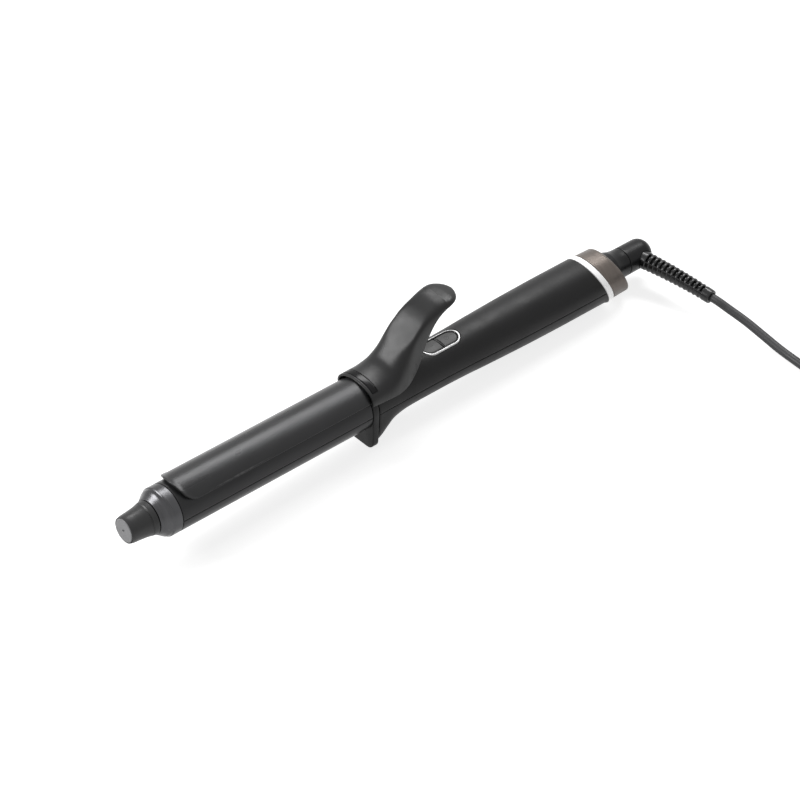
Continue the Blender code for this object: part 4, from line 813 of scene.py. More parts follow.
class StandCollar(Assembly):
    """Collar with a flat foot, round on top."""

    sizes = CollarSizes()

    def build(self) -> None:
        """Make the collar as rings of its outline round a bore."""
        s = self.sizes
        outline = self.outline()
        angles = np.arctan2(outline[:, 1], outline[:, 0])
        bore = s.bore * np.column_stack((np.cos(angles), np.sin(angles)))
        edge = edge_round(s.edge)
        profile = [(s.front_x + ahead, depth) for ahead, depth in reversed(edge)]
        profile += [(s.rear_x - back, depth) for back, depth in edge]
        rows = [(s.front_x, bore), *((x, inset(outline, depth)) for x, depth in profile), (s.rear_x, bore)]
        solid = Solid().grid([[(x, y, z) for y, z in ring] for x, ring in rows], close_rows=True)
        mesh = solid.mesh("stand_collar_fine", REST.matrix)
        for vertex in mesh.vertices:
            vertex.co.z = max(vertex.co.z, 0)
        self.add("stand_collar_fine", mesh, Finish.CHARCOAL, stands_for=("stand_collar",))

    def outline(self) -> np.ndarray:
        """Return the collar's outline across the tong.

        Returns:
            A closed, counter-clockwise outline of (y, z) points.
        """
        s = self.sizes
        deep = s.depth + (s.rear_x - s.front_x) * math.tan(REST.tilt)
        top = arc((0, 0), s.radius, np.linspace(0, math.pi, 73))
        corner_y, corner_z = s.radius - s.corner, s.corner - deep
        turns = np.linspace(math.pi, math.pi * 3 / 2, 11)
        left = [(-s.radius, z) for z in np.linspace(0, corner_z, 8)[1:-1]]
        first = arc((-corner_y, corner_z), s.corner, turns)
        flat = [(y, -deep) for y in np.linspace(-corner_y, corner_y, 14)[1:-1]]
        second = arc((corner_y, corner_z), s.corner, turns + math.pi / 2)
        right = [(s.radius, z) for z in np.linspace(corner_z, 0, 8)[1:-1]]
        return np.array(top + left + first + flat + second + right)


@dataclass(frozen=True)
class HandleSizes:
    """Sizes of the handle and its tables, as shares along it."""

    front_x: float = -2.1 * MM
    length: float = 158.7 * MM
    front_diameter: float = 26.6 * MM
    neck_diameter: float = 25.8 * MM
    rear_diameter: float = 29.5 * MM
    neck_x: float = 32 * MM
    neck_lead: float = 3 * MM
    wall: float = 2 * MM
    bore: float = 9.9 * MM
    slant: float = math.tan(math.radians(26.5))
    fairing_length: float = 28 * MM
    fairing_depth: float = 20.9 * MM
    fairing: tuple = ((0, 1, 4.5), (0.075, 0.9, 4.2), (0.15, 0.76, 3.8), (0.22, 0.58, 3.4), (0.29, 0.43, 3),
                      (0.39, 0.25, 2.5), (0.54, 0.12, 2.2), (0.78, 0.04, 2), (1, 0, 2))
    grip: tuple = ((0.1, 0), (0.215, 0.12), (0.33, 0.4), (0.53, 0.78), (0.61, 0.88), (0.81, 1), (1, 1))
    heel_x: float = 161.6 * MM
    heel_length: float = 14 * MM
    heel_depth: float = 15.9 * MM
    heel: tuple = ((-0.5, 0), (-0.36, 0.4), (-0.2, 0.92), (-0.08, 1), (0.35, 1))
    heel_power: float = 2.5
    deck_length: float = 29 * MM
    deck_height: float = 11.4 * MM
    edge: float = 0.3 * MM
    taper_length: float = 26 * MM
    seam_edge: float = 0.25 * MM
    opening_floor: float = 6 * MM
    screw_x: tuple = (32 * MM, 122 * MM)
    screw_well: float = 2.8 * MM
    screw_depth: float = 9 * MM
    ear_x: float = 22 * MM
    ear_z: float = 15 * MM
    ear_gap: float = 9.2 * MM
    ear_thickness: float = 2 * MM
    ear_radius: float = 3 * MM


@dataclass(frozen=True)
class PanelSizes:
    """Sizes of the bezel and the two buttons."""

    centre_x: float = 49.1 * MM
    length: float = 25.4 * MM
    width: float = 11.8 * MM
    rim: float = 1 * MM
    top: float = 13.1 * MM
    depth: float = 4.2 * MM
    floor: float = 1 * MM
    button_top: float = 12.5 * MM
    button_gap: float = 0.4 * MM
    split: float = 0.7 * MM
    travel: float = 0.6 * MM
    edge: float = 0.8 * MM
    rim_outer_edge: float = 0.35 * MM
    rim_inner_edge: float = 0.25 * MM
    foot_edge: float = 0.1 * MM
    corner: float = 0.5 * MM
    # Rings of a button's top, as shares of the way from its middle line
    top_rings: tuple = (0.9, 0.75, 0.5, 0.25, 0)


class Handle(Assembly):
    """Two handle shells with fairing, heel, deck and pivot ears."""

    sizes = HandleSizes()
    panel = PanelSizes()

    def radius(self, x: float) -> float:
        """Return the grip's radius.

        Args:
            x: place along the handle.

        Returns:
            The radius there.
        """
        s = self.sizes
        span = s.front_x + s.length - s.neck_x
        places = [s.front_x, s.neck_x - s.neck_lead, *(s.neck_x + along * span for along, rise in s.grip)]
        neck, rear = s.neck_diameter / 2, s.rear_diameter / 2
        radii = [s.front_diameter / 2, neck, *(neck + rise * (rear - neck) for along, rise in s.grip)]
        return float(eased(places, radii, x))

    def drop(self, x: float) -> Flat:
        """Return how far fairing or heel hang under the grip.

        Args:
            x: place along the handle.

        Returns:
            The depth under the grip and the power of the outline.
        """
        s = self.sizes
        along = (x - s.front_x) / s.fairing_length
        left = float(read_table(s.fairing, along))
        heel = float(read_table(s.heel, (x - s.heel_x) / s.heel_length))
        drop = left * (s.fairing_depth - s.front_diameter / 2) + heel * (s.heel_depth - s.rear_diameter / 2)
        return drop, float(read_table(s.fairing, along, 2)) + heel * (s.heel_power - 2)

    def stations(self) -> list[Point]:
        """Return the places of the handle's sections, with fillets at both ends.

        Returns:
            (place, slant, shrink) of each section.
        """
        s = self.sizes
        rear = s.front_x + s.length
        places = [(s.front_x, 0, s.edge), (s.front_x + 0.3 * s.edge, 0, 0.3 * s.edge)]
        taper_x = rear - s.taper_length
        places += [(x, 0, 0) for x in np.linspace(s.front_x + s.edge, taper_x, 96)]
        places += [(taper_x + share * (s.taper_length - 2 * s.edge), share * s.slant, 0)
                   for share in np.linspace(0, 1, 22)[1:]]
        places += [(rear - s.edge, s.slant, 0), (rear - 0.3 * s.edge, s.slant, 0.3 * s.edge),
                   (rear, s.slant, s.edge)]
        return places

    def inner_radius(self, x: float) -> float:
        """Return the radius of the hollow inside the shells."""
        s = self.sizes
        return s.bore if x < s.front_x + s.deck_length else self.radius(x) - s.wall

    @staticmethod
    def hung(angle: float, radius: float, drop: float, power: float) -> Flat:
        """Return the (y, depth) point at an angle of an outer arc that is deeper than wide by a drop."""
        return radius * powered(math.cos(angle), power), (radius + drop) * powered(math.sin(angle), power)

    def shell(self, side: int) -> Solid:
        """Return one shell.

        Args:
            side: 1 above the seam, -1 below it.

        Returns:
            The shell's solid.
        """
        rows = []
        for x, slant, shrink in self.stations():
            outer = self.radius(x)
            drop, power = self.drop(x) if side < 0 else (0, 2)
            shape = partial(self.hung, radius=outer - shrink, drop=drop, power=power)
            ring = half_ring(outer, self.inner_radius(x), self.sizes.seam_edge, shape)
            rows.append([(x - slant * side * z, y, side * z) for y, z in ring])
        return Solid().grid(rows, caps=True)

    def build(self) -> None:
        """Make both shells."""
        s, p = self.sizes, self.panel
        deck_end = s.front_x + s.deck_length
        wide = s.front_diameter
        deck = box_solid((s.front_x - wide, -wide, s.deck_height), (deck_end, wide, wide))
        hole = slot_outline(p.length + 2 * GAP, p.width + 2 * GAP)
        hole[:, 0] += p.centre_x
        opening = Solid().stack(hole, [(s.opening_floor, 0), (wide, 0)])
        upper = carved("handle_upper_fine", self.shell(1), [deck, opening])
        self.add("handle_upper_fine", upper, Finish.CHARCOAL, stands_for=("handle_upper_shell",))
        well = [(-wide, 0), (-wide, s.screw_well), (-s.screw_depth, s.screw_well), (-s.screw_depth, 0)]
        wells = [Solid().lathe(well, 48, centre=(x, 0), axis=Axis.Z) for x in s.screw_x]
        lower = carved("handle_lower_fine", self.shell(-1), wells)
        for vertex in lower.vertices:
            vertex.co.z = max(vertex.co.z, 0)
        self.add("handle_lower_fine", lower, Finish.CHARCOAL, stands_for=("handle_lower_shell",))
        ears = Solid()
        foot = s.deck_height - s.ear_z - MM
        outline = [*arc((0, 0), s.ear_radius, np.linspace(0, math.pi, 25)), (-s.ear_radius, foot),
                   (s.ear_radius, foot)]
        for side in (-1, 1):
            sides = [side * (s.ear_gap / 2 + out) for out in (0, s.ear_thickness)]
            ears.grid([[(s.ear_x + u, y, s.ear_z + v) for u, v in outline] for y in sides], caps=True)
        self.add("pivot_ears_fine", ears.mesh("pivot_ears_fine", REST.matrix), Finish.CHARCOAL)


class ButtonPanel(Assembly):
    """Bright oval bezel with the power and mode buttons."""

    sizes = PanelSizes()

    def build(self) -> None:
        """Make the tray and both half-oval buttons."""
        p = self.sizes
        low = p.top - p.depth
        outline = slot_outline(p.length, p.width)
        outline[:, 0] += p.centre_x
        levels = [(low, p.foot_edge), (low + p.foot_edge, 0)]
        levels += [(p.top - down, depth) for down, depth in edge_round(p.rim_outer_edge, 6)]
        levels += [(p.top - down, p.rim - short) for short, down in edge_round(p.rim_inner_edge, 6)]
        levels += [(low + p.floor, p.rim)]
        tray = Solid().stack(outline, levels)
        level = low + p.floor + MM / 2
        tray.points = [(x, y, z - self.fall(y, p.top) * (z > level)) for x, y, z in tray.points]
        self.put("button_bezel", tray, Finish.CHROME)
        bottom = low + p.floor + p.travel + GAP
        for node, side, body in (("power_button", 1, Body.POWER), ("mode_button", -1, Body.MODE)):
            outline = self.half_oval(side)
            rows = [[(x, y, bottom) for x, y in outline]]
            for down, depth in edge_round(p.edge, 6):
                rows.append([(x, y, p.button_top - down - self.fall(y, p.button_top))
                             for x, y in inset(outline, depth)])
            rows += [[(x, y * share, z + self.fall(y, p.button_top) - self.fall(y * share, p.button_top))
                      for x, y, z in rows[-1]] for share in p.top_rings]
            solid = Solid().grid(rows)
            solid.faces.append(tuple(range(len(outline) - 1, -1, -1)))
            self.put(node, solid, Finish.BUTTON, body)

    @staticmethod
    def fall(y: float, radius: float) -> float:
        """Return how far the round grip falls off at a distance from its crest."""
        return radius - math.sqrt(radius ** 2 - y ** 2)

    def half_oval(self, side: int) -> np.ndarray:
        """Return the outline of one button.

        Args:
            side: 1 for the rear button, -1 for the front one.

        Returns:
            A closed, counter-clockwise (x, y) outline.
        """
        p = self.sizes
        shrink = 2 * (p.rim + p.button_gap)
        length, width = p.length - shrink, p.width - shrink
        reach, radius = (length - width) / 2, width / 2
        end = arc((reach, 0), radius, np.linspace(-math.pi / 2, math.pi / 2, 41))
        top = [(p.split / 2 + along, radius - down) for along, down in edge_round(p.corner, 7)]
        bottom = [(x, -y) for x, y in reversed(top)]
        outline = np.array(end + top + bottom)
        if side < 0:
            outline = outline[::-1] * (-1, 1)
        outline[:, 0] += p.centre_x
        return outline


@dataclass(frozen=True)
class LeverSizes:
    """Sizes of the lever; its table holds shares at stations along it.

    The table's columns are: place along the lever, top between rim and top height, lower edge over the
    top height, half width low and high over the half width, power of the arch, share of the wall.
    """

    front_x: float = -7.3 * MM
    length: float = 62.8 * MM
    rim_height: float = 16.4 * MM
    top_height: float = 46 * MM
    half_width: float = 13.6 * MM
    wall: float = 1.6 * MM
    rim_wall: float = 1 * MM
    side_wall: float = 1.2 * MM
    cavity_end: float = 42 * MM
    paddle_radius: float = 10 * MM
    table: tuple = (
        (0, 0, 0.17, 1, 1.105, 2.1, 0), (0.068, 0.02, 0.157, 0.993, 1.12, 2.1, 0.1),
        (0.136, 0.031, 0.148, 0.985, 1.115, 2.1, 0.3), (0.211, 0.058, 0.14, 0.978, 1.103, 2.2, 0.6),
        (0.274, 0.112, 0.135, 0.971, 1.015, 2.5, 1), (0.33, 0.214, 0.142, 0.949, 0.882, 3.2, 1),
        (0.385, 0.342, 0.157, 0.912, 0.787, 4.5, 1), (0.441, 0.465, 0.188, 0.846, 0.75, 8, 1),
        (0.496, 0.583, 0.24, 0.768, 0.728, 12, 1), (0.544, 0.683, 0.332, 0.725, 0.713, 12, 1),
        (0.591, 0.77, 0.502, 0.705, 0.713, 9, 1), (0.645, 0.851, 0.659, 0.702, 0.713, 6, 1),
        (0.702, 0.915, 0.779, 0.706, 0.721, 4, 1), (0.765, 0.966, 0.858, 0.713, 0.728, 3.3, 1),
        (0.829, 0.993, 0.904, 0.721, 0.735, 3, 1))
    # Round end of the paddle: along its radius, and top and lower edge over the top height
    end: tuple = ((0, 0.9955, 0.908), (0.3, 0.996, 0.921), (0.65, 0.987, 0.924), (0.88, 0.976, 0.926),
                  (1, 0.963, 0.934))
    edge: float = 0.35 * MM
    paddle_edge: float = 1.1 * MM
    arch_steps: int = 96
    slot_x: float = -5.8 * MM
    slot_length: float = 3.8 * MM
    slot_angle: float = math.radians(42)
    slot_depth: float = 0.7 * MM
    boss_x: float = 22 * MM
    boss_z: float = 15 * MM
    boss_radius: float = 3.2 * MM
    boss_start: float = 6.9 * MM
    paddle_start: float = 30 * MM
    paddle_rise: float = 14 * MM
    insert_gap: float = 0.2 * MM
    insert_edge: float = 0.25 * MM
    insert_seat: float = 0.05 * MM
    slot_step: float = 0.02 * MM
    cavity_step: float = 0.05 * MM


class Lever(Assembly):
    """Moulded lever with its glossy front insert."""

    sizes = LeverSizes()

    def __init__(self, finishes: "FinishLibrary") -> None:
        """Read the table's places and columns.

        Args:
            finishes: library of the finishes.
        """
        super().__init__(finishes)
        s = self.sizes
        table = np.array(s.table)
        self.places = s.front_x + table[:, 0] * s.length
        self.columns = table[:, 1:]
        self.end_x = s.front_x + s.length - s.paddle_radius

    def station(self, x: float) -> tuple[float, ...]:
        """Return the lever's sizes at a place.

        Args:
            x: place along the lever.

        Returns:
            Top, lower edge, low and high half width, power and wall.
        """
        s = self.sizes
        rise, edge, low, high, power, wall = (float(eased(self.places, column, x))
                                              for column in self.columns.T)
        top = s.rim_height + rise * (s.top_height - s.rim_height)
        edge, low, high = edge * s.top_height, low * s.half_width, high * s.half_width
        wall = s.rim_wall + wall * (s.wall - s.rim_wall)
        if x > self.end_x:
            along = min(1.0, (x - self.end_x) / s.paddle_radius)
            top = float(read_table(s.end, along)) * s.top_height
            edge = float(read_table(s.end, along, 2)) * s.top_height
            width = math.sqrt(max(0.0, 1 - along ** 2))
            low, high = low * width, high * width
        return top, edge, low, high, power, wall

    def arch(self, x: float, angles: np.ndarray, shrink: float = 0.0) -> list[Flat]:
        """Return the outer arch at a place.

        Args:
            x: place along the lever.
            angles: angles of the points.
            shrink: how far the arch is moved inwards.

        Returns:
            A list of (y, z) points.
        """
        top, edge, low, high, power, _ = self.station(x)
        points = []
        for angle in angles:
            up = powered(math.sin(angle), power)
            width = low + (high - low) * up - shrink
            points.append((powered(math.cos(angle), power) * width, edge + (top - shrink - edge) * up))
        return points

    def roof(self, x: float) -> float:
        """Return the height of the inner roof.

        Args:
            x: place along the lever.

        Returns:
            The height there.
        """
        here, ahead, back = self.station(x), self.station(x + MM), self.station(x - MM)
        slope = (ahead[0] - back[0]) / (2 * MM)
        return here[0] - here[5] * math.hypot(1, slope)

    def angles(self) -> np.ndarray:
        """Return the angles of the arch, with a step at each side of the insert's slot.

        Returns:
            The rising angles.
        """
        s = self.sizes
        even = np.linspace(0, math.pi, s.arch_steps + 1)
        near = math.radians(0.3)
        sides = [s.slot_angle - near, s.slot_angle, math.pi - s.slot_angle, math.pi - s.slot_angle + near]
        kept = [a for a in even if min(abs(a - b) for b in sides) > math.radians(0.6)]
        return np.array(sorted([*kept, *sides]))

    def ring(self, x: float, angles: np.ndarray, shrink: float = 0.0, sunk: bool = False) -> list[Flat]:
        """Return the closed cross-section of the lever.

        Args:
            x: place along the lever.
            angles: angles of the outer arch.
            shrink: how far the arch is moved inwards.
            sunk: True where the insert's slot is.

        Returns:
            A list of (y, z) points.
        """
        s = self.sizes
        top, edge, low, high, power, _ = self.station(x)
        outer = self.arch(x, angles, shrink)
        if sunk:
            keep = s.slot_angle - math.radians(0.1)
            centre = (top + edge) / 3
            for i, angle in enumerate(angles):
                if keep < angle < math.pi - keep:
                    y, z = outer[i]
                    reach = math.hypot(y, z - centre)
                    outer[i] = (y - y / reach * s.slot_depth, z - (z - centre) / reach * s.slot_depth)
        paddle = np.clip((x - s.paddle_start) / s.paddle_rise, 0, 1)
        round_edge = min(s.edge + paddle * (s.paddle_edge - s.edge), 0.42 * (top - edge), 0.45 * low)
        outer = [(y, max(z, edge + round_edge)) for y, z in outer]
        inner_low = max(low - s.side_wall, 0.05 * low) if x <= s.cavity_end else 0.55 * low
        inner_high = max(high - s.side_wall, 0.05 * low)
        roof = min(self.roof(x), top - s.rim_wall) + shrink
        inner = []
        for angle in np.linspace(math.pi, 0, 41):
            if x <= s.cavity_end:
                up, side = powered(math.sin(angle), power), powered(math.cos(angle), power)
                inner.append((side * (inner_low + (inner_high - inner_low) * up), edge + (roof - edge) * up))
            else:
                inner.append((math.cos(angle) * inner_low, edge))
        turn = [(low - shrink - depth, edge + up) for up, depth in edge_round(round_edge, 7)[1:]]
        return [*reversed(turn), *outer, *((-y, z) for y, z in turn), *inner]

    def build(self) -> None:
        """Make the lever and its insert."""
        s = self.sizes
        angles = self.angles()
        slot_end = s.slot_x + s.slot_length
        places = [(s.front_x, s.edge, False), (s.front_x + 0.08 * s.edge, 0.6 * s.edge, False),
                  (s.front_x + 0.3 * s.edge, 0.3 * s.edge, False), (s.front_x + s.edge, 0, False),
                  (s.slot_x - s.slot_step, 0, False)]
        places += [(x, 0, True) for x in np.linspace(s.slot_x, slot_end, 7)]
        places += [(x, 0, False) for x in np.linspace(slot_end + s.slot_step, s.cavity_end, 84)]
        places += [(x, 0, False) for x in np.linspace(s.cavity_end + s.cavity_step, self.end_x, 24)]
        places += [(self.end_x + s.paddle_radius * math.sin(t), 0, False)
                   for t in np.linspace(0, math.radians(88), 26)[1:]]
        rows = [[(x, y, z) for y, z in self.ring(x, angles, shrink, sunk)] for x, shrink, sunk in places]
        solid = Solid().grid(rows, caps=True)
        reach = self.station(s.boss_x)[2] - s.side_wall / 2
        for side in (-1, 1):
            start, end = side * s.boss_start, side * reach
            boss = [(start, 0), (start, s.boss_radius), (end, s.boss_radius), (end, 0)]
            solid.lathe(boss, 40, centre=(s.boss_x, s.boss_z), axis=Axis.Y)
        self.put("lever", solid, Finish.LEVER, Body.LEVER)
        self.build_insert()

    def build_insert(self) -> None:
        """Make the strip that lies in the lever's slot."""
        s = self.sizes
        start, end = s.slot_x + s.insert_gap, s.slot_x + s.slot_length - s.insert_gap
        first = s.slot_angle + math.radians(1)
        angles = np.linspace(first, math.pi - first, 73)
        soft = s.insert_edge
        rows = []
        straight = [(x, 0) for x in np.linspace(start + 2 * soft, end - 2 * soft, 4)]
        for x, shrink in ((start, s.slot_depth), (start, soft), (start + 0.3 * soft, 0.3 * soft),
                          (start + soft, 0), *straight, (end - soft, 0), (end - 0.3 * soft, 0.3 * soft),
                          (end, soft), (end, s.slot_depth)):
            outer = self.arch(x, angles, shrink)
            inner = self.arch(x, angles[::-1], s.slot_depth + s.insert_seat)
            rows.append([(x, y, z) for y, z in [*outer, *inner]])
        self.put("lever_insert", Solid().grid(rows, caps=True), Finish.GLOSS, Body.LEVER)


@dataclass(frozen=True)
class SpringSizes:
    """Sizes of the torsion spring on the hinge pin."""

    pivot_x: float = 22 * MM
    pivot_z: float = 15 * MM
    radius: float = 2.25 * MM
    wire: float = 0.45 * MM
    turns: float = 6.25
    pitch: float = 1.2 * MM
    points: int = 28
    foot_length: float = 10 * MM
    deck_height: float = 11.4 * MM


class TorsionSpring(Assembly):
    """Spring round the hinge pin; its leg reaches up to the lever's roof."""

    sizes = SpringSizes()

    def __init__(self, finishes: "FinishLibrary", lever: Lever) -> None:
        """Keep the lever that the leg bears on."""
        super().__init__(finishes)
        self.lever = lever

    def build(self) -> None:
        """Make the wire from its foot on the deck, round the pin and up to the lever's roof."""
        s = self.sizes
        half = s.pitch * s.turns / 2
        leg_x = s.pivot_x + s.radius
        leg_top = self.lever.roof(leg_x) - GAP - 2 * s.wire
        line = [(leg_x, -half, z) for z in np.linspace(leg_top, s.pivot_z, 30)[:-1]]
        for share in np.linspace(0, 1, round(s.turns * s.points) + 1):
            angle = -2 * math.pi * s.turns * share
            line.append((s.pivot_x + s.radius * math.cos(angle), half * (2 * share - 1),
                         s.pivot_z + s.radius * math.sin(angle)))
        line.append((s.pivot_x - s.foot_length, half, s.deck_height + GAP + s.wire))
        mesh = Solid().tube(line[::-1], s.wire, 14).mesh("torsion_spring_fine", REST.matrix)
        spring = self.add("torsion_spring_fine", mesh, Finish.STEEL, None, ("torsion_spring",))
        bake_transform(spring)


@dataclass(frozen=True)
class PlateSizes:
    """Sizes of the clamp plate."""

    radius: float = 15.1 * MM
    thickness: float = 1.5 * MM
    half_angle: float = math.radians(54)
    tail_angle: float = math.radians(34)
    front_x: float = -125.3 * MM
    rear_x: float = -6.8 * MM
    tail_length: float = 15.8 * MM
    corner_length: float = 7.9 * MM
    lip_length: float = 1.6 * MM
    lip_rise: float = 0.4 * MM
    flat_start: float = 6 * MM
    corner: tuple = ((0, 0), (0.45, 0.12), (0.75, 0.32), (0.9, 0.56), (0.97, 0.8), (1, 1))
    edge: float = 0.4 * MM


class ClampPlate(Assembly):
    """Curved plate that presses the hair on the barrel."""

    sizes = PlateSizes()

    def section(self, angle: float, thin: float) -> list[Flat]:
        """Return the closed (x, radius) section of the plate at an angle.

        Args:
            angle: angle from the top.
            thin: what is taken off both faces, for the rounded side edges.

        Returns:
            A list of (x, radius) points.
        """
        s = self.sizes
        corner = np.array(s.corner)
        share = min(1.0, abs(angle) / s.half_angle)
        front = s.front_x + s.corner_length * float(np.interp(share, corner[:, 0], corner[:, 1]))
        rear = s.rear_x + (s.tail_length if abs(angle) <= s.tail_angle else 0)
        middle = s.radius - s.thickness / 2
        half = s.thickness / 2 - thin
        nose = half * 0.8
        soft = min(s.edge, nose)
        outer = [(front + ahead, half - depth) for ahead, depth in reversed(edge_round(nose, 8))]
        outer += [(front + soft * 1.5 + share_x * s.lip_length, half) for share_x in np.linspace(0, 1.6, 7)]
        outer += [(x, half) for x in np.linspace(front + s.flat_start, rear - 2 * soft, 10)]
        outer += [(rear - back, half - depth) for back, depth in edge_round(soft)]
        inner = [(x, -v) for x, v in reversed(outer)]
        reach = s.lip_length * 1.8
        ring = []
        for x, v in outer + inner:
            lift = np.clip((front + reach - x) / reach, 0, 1)
            ring.append((x, middle + v + s.lip_rise * lift * lift))
        return ring

    def build(self) -> None:
        """Make the plate as sections round the barrel."""
        s = self.sizes
        side = [(s.half_angle - back / s.radius, depth) for back, depth in edge_round(s.edge)]
        wide = np.linspace(s.tail_angle, side[0][0] - s.edge / s.radius, 26)
        tail = np.linspace(-s.tail_angle, s.tail_angle, 49)
        right = [(a, 0) for a in wide[1:]] + side
        step = math.radians(0.02)
        sequence = [(-a, thin) for a, thin in reversed(right)] + [(-s.tail_angle - step, 0)]
        sequence += [(a, 0) for a in tail] + [(s.tail_angle + step, 0)] + right
        rows = [[(x, r * math.sin(angle), r * math.cos(angle)) for x, r in self.section(angle, thin)]
                for angle, thin in sequence]
        self.put("clamp_plate", Solid().grid(rows, caps=True), Finish.CLAMP, Body.LEVER)


@dataclass(frozen=True)
class EndSizes:
    """Sizes of the light ring, end collar, neck and drum."""

    slant: float = math.tan(math.radians(26.5))
    light_front: float = 156.935 * MM
    light_width: float = 3.7 * MM
    light_radius: float = 14.6 * MM
    bore: float = 12.75 * MM
    collar_front: float = 160.97 * MM
    collar_length: float = 11.6 * MM
    collar_front_radius: float = 14.6 * MM
    collar_rear_radius: float = 14.3 * MM
    collar_edge: float = 1.6 * MM
    spigot: float = 12.45 * MM
    spigot_length: float = 10 * MM
    spigot_wall: float = 1.6 * MM
    neck_way: float = 9.8 * MM
    neck_front: float = 152.27 * MM
    neck_base: float = 9.5 * MM
    neck_end: float = 7.9 * MM
    flare_x: float = 171.97 * MM
    end_x: float = 181.37 * MM
    flare: tuple = ((0, 1), (0.2, 0.62), (0.42, 0.3), (0.7, 0.08), (1, 0))
    stub_way: float = 5.3 * MM
    drum_length: float = 19.5 * MM
    dome_length: float = 6.8 * MM
    stub: float = 5 * MM
    stub_length: float = 15 * MM
    soft: float = 0.35 * MM
    chamber_wall: float = 1.6 * MM
    chamber_length: float = 10.5 * MM
    flange_length: float = 2.5 * MM
    rim: float = 0.2 * MM
    rim_soft: float = 0.06 * MM
    dome_power: float = 0.9
    way_edge: float = 0.3 * MM
    # How far along the relief its seat in the drum is cut
    seat_places: tuple = (0, 4 * MM, 9 * MM)


@dataclass(frozen=True)
class ReliefSizes:
    """Sizes of the ribbed strain relief."""

    root_x: float = 191.57 * MM
    reach: float = 50 * MM
    lean: float = 7.9 * MM
    drop: float = 2.6 * MM
    root_radius: float = 5.1 * MM
    end_radius: float = 3.85 * MM
    drum_radius: float = 7.9 * MM
    seat: float = 3 * MM
    ribs: int = 12
    sleeve: float = 4.2 * MM
    end_ring: float = 4.7 * MM
    rail_depth: float = 0.35 * MM
    trench_depth: float = 1.9 * MM
    trench_angle: float = math.radians(38)
    trench_roll: float = math.radians(18)
    rib_width: float = 1.55 * MM
    rib_height: float = 1.7 * MM
    cord_hole: float = 2.75 * MM
    # How steeply the trench starts and ends, along the relief and round it
    trench_end: float = 0.006
    trench_side: float = math.radians(4)
    end_edge: tuple = ((0.992, 0.05 * MM), (0.998, 0.2 * MM))
    mouth_edge: float = 0.5 * MM
    mouth_place: float = 0.96
    # Chance play of the ribs' size
    rib_play: float = 0.005
    seed: int = 7

    def line(self, along: float) -> np.ndarray:
        """Return a point of the relief's centre line in the tong's frame."""
        lean = self.lean * (5 * along - along * along) / 4
        return np.array((self.root_x + lean, -along * self.reach, -self.drop * along * along))

    def radius(self, along: float) -> float:
        """Return the relief's radius along it."""
        share = np.clip((along - self.root) / (1 - self.root), 0, 1)
        return self.root_radius + (self.end_radius - self.root_radius) * share

    @property
    def root(self) -> float:
        """Where the relief is seated in the drum, as a share of its reach."""
        return (self.drum_radius - self.seat) / self.reach

    @property
    def ribbed(self) -> Flat:
        """Start and end of the ribbed stretch, as shares of the reach."""
        return self.root + self.sleeve / self.reach, 1 - self.end_ring / self.reach


class EndFittings(Assembly):
    """Light ring, end collar and the fixed swivel neck."""

    sizes = EndSizes()

    def build(self) -> None:
        """Make the slanted rings and the neck."""
        s = self.sizes
        light_rear = s.light_front + s.light_width
        ring = rounded([(s.light_front, s.bore, 0), (s.light_front, s.light_radius, s.soft),
                        (light_rear, s.light_radius, s.soft), (light_rear, s.bore, 0)])
        self.put("light_ring", Solid().lathe(ring, 144, s.slant), Finish.LIGHT)
        rear = s.collar_front + s.collar_length
        spigot_front = s.collar_front - s.spigot_length
        inner = s.spigot - s.spigot_wall
        collar = rounded([(spigot_front, inner, 0), (spigot_front, s.spigot, 0),
                          (s.collar_front, s.spigot, 0), (s.collar_front, s.collar_front_radius, s.soft),
                          (rear, s.collar_rear_radius, s.collar_edge), (rear, s.neck_way, s.way_edge),
                          (s.collar_front + s.collar_edge, s.neck_way, 0),
                          (s.collar_front + s.collar_edge, inner, 0)], 8)
        self.put("end_collar", Solid().lathe(collar, 144, s.slant), Finish.PEWTER)
        along = np.linspace(0, 1, 24)
        radii = s.neck_end + read_table(s.flare, along) * (s.neck_base - s.neck_end)
        places = s.flare_x + along * (s.end_x - s.flare_x)
        flare = list(zip(places[:-1], radii[:-1]))
        flare += [(s.end_x - s.rim, s.neck_end), (s.end_x - s.rim_soft, s.neck_end - s.rim_soft)]
        chamber = s.neck_base - s.chamber_wall
        shoulder = s.end_x - s.chamber_length
        flange, flange_rear = inner - GAP, s.neck_front + s.flange_length
        neck = [(s.neck_front, chamber), (s.neck_front, flange), (flange_rear, flange),
                (flange_rear, s.neck_base), *flare, (s.end_x, s.neck_end - s.rim), (s.end_x, s.stub_way),
                (shoulder, s.stub_way), (shoulder, chamber)]
        self.put("swivel_neck", Solid().lathe(neck, 112), Finish.BLACK)


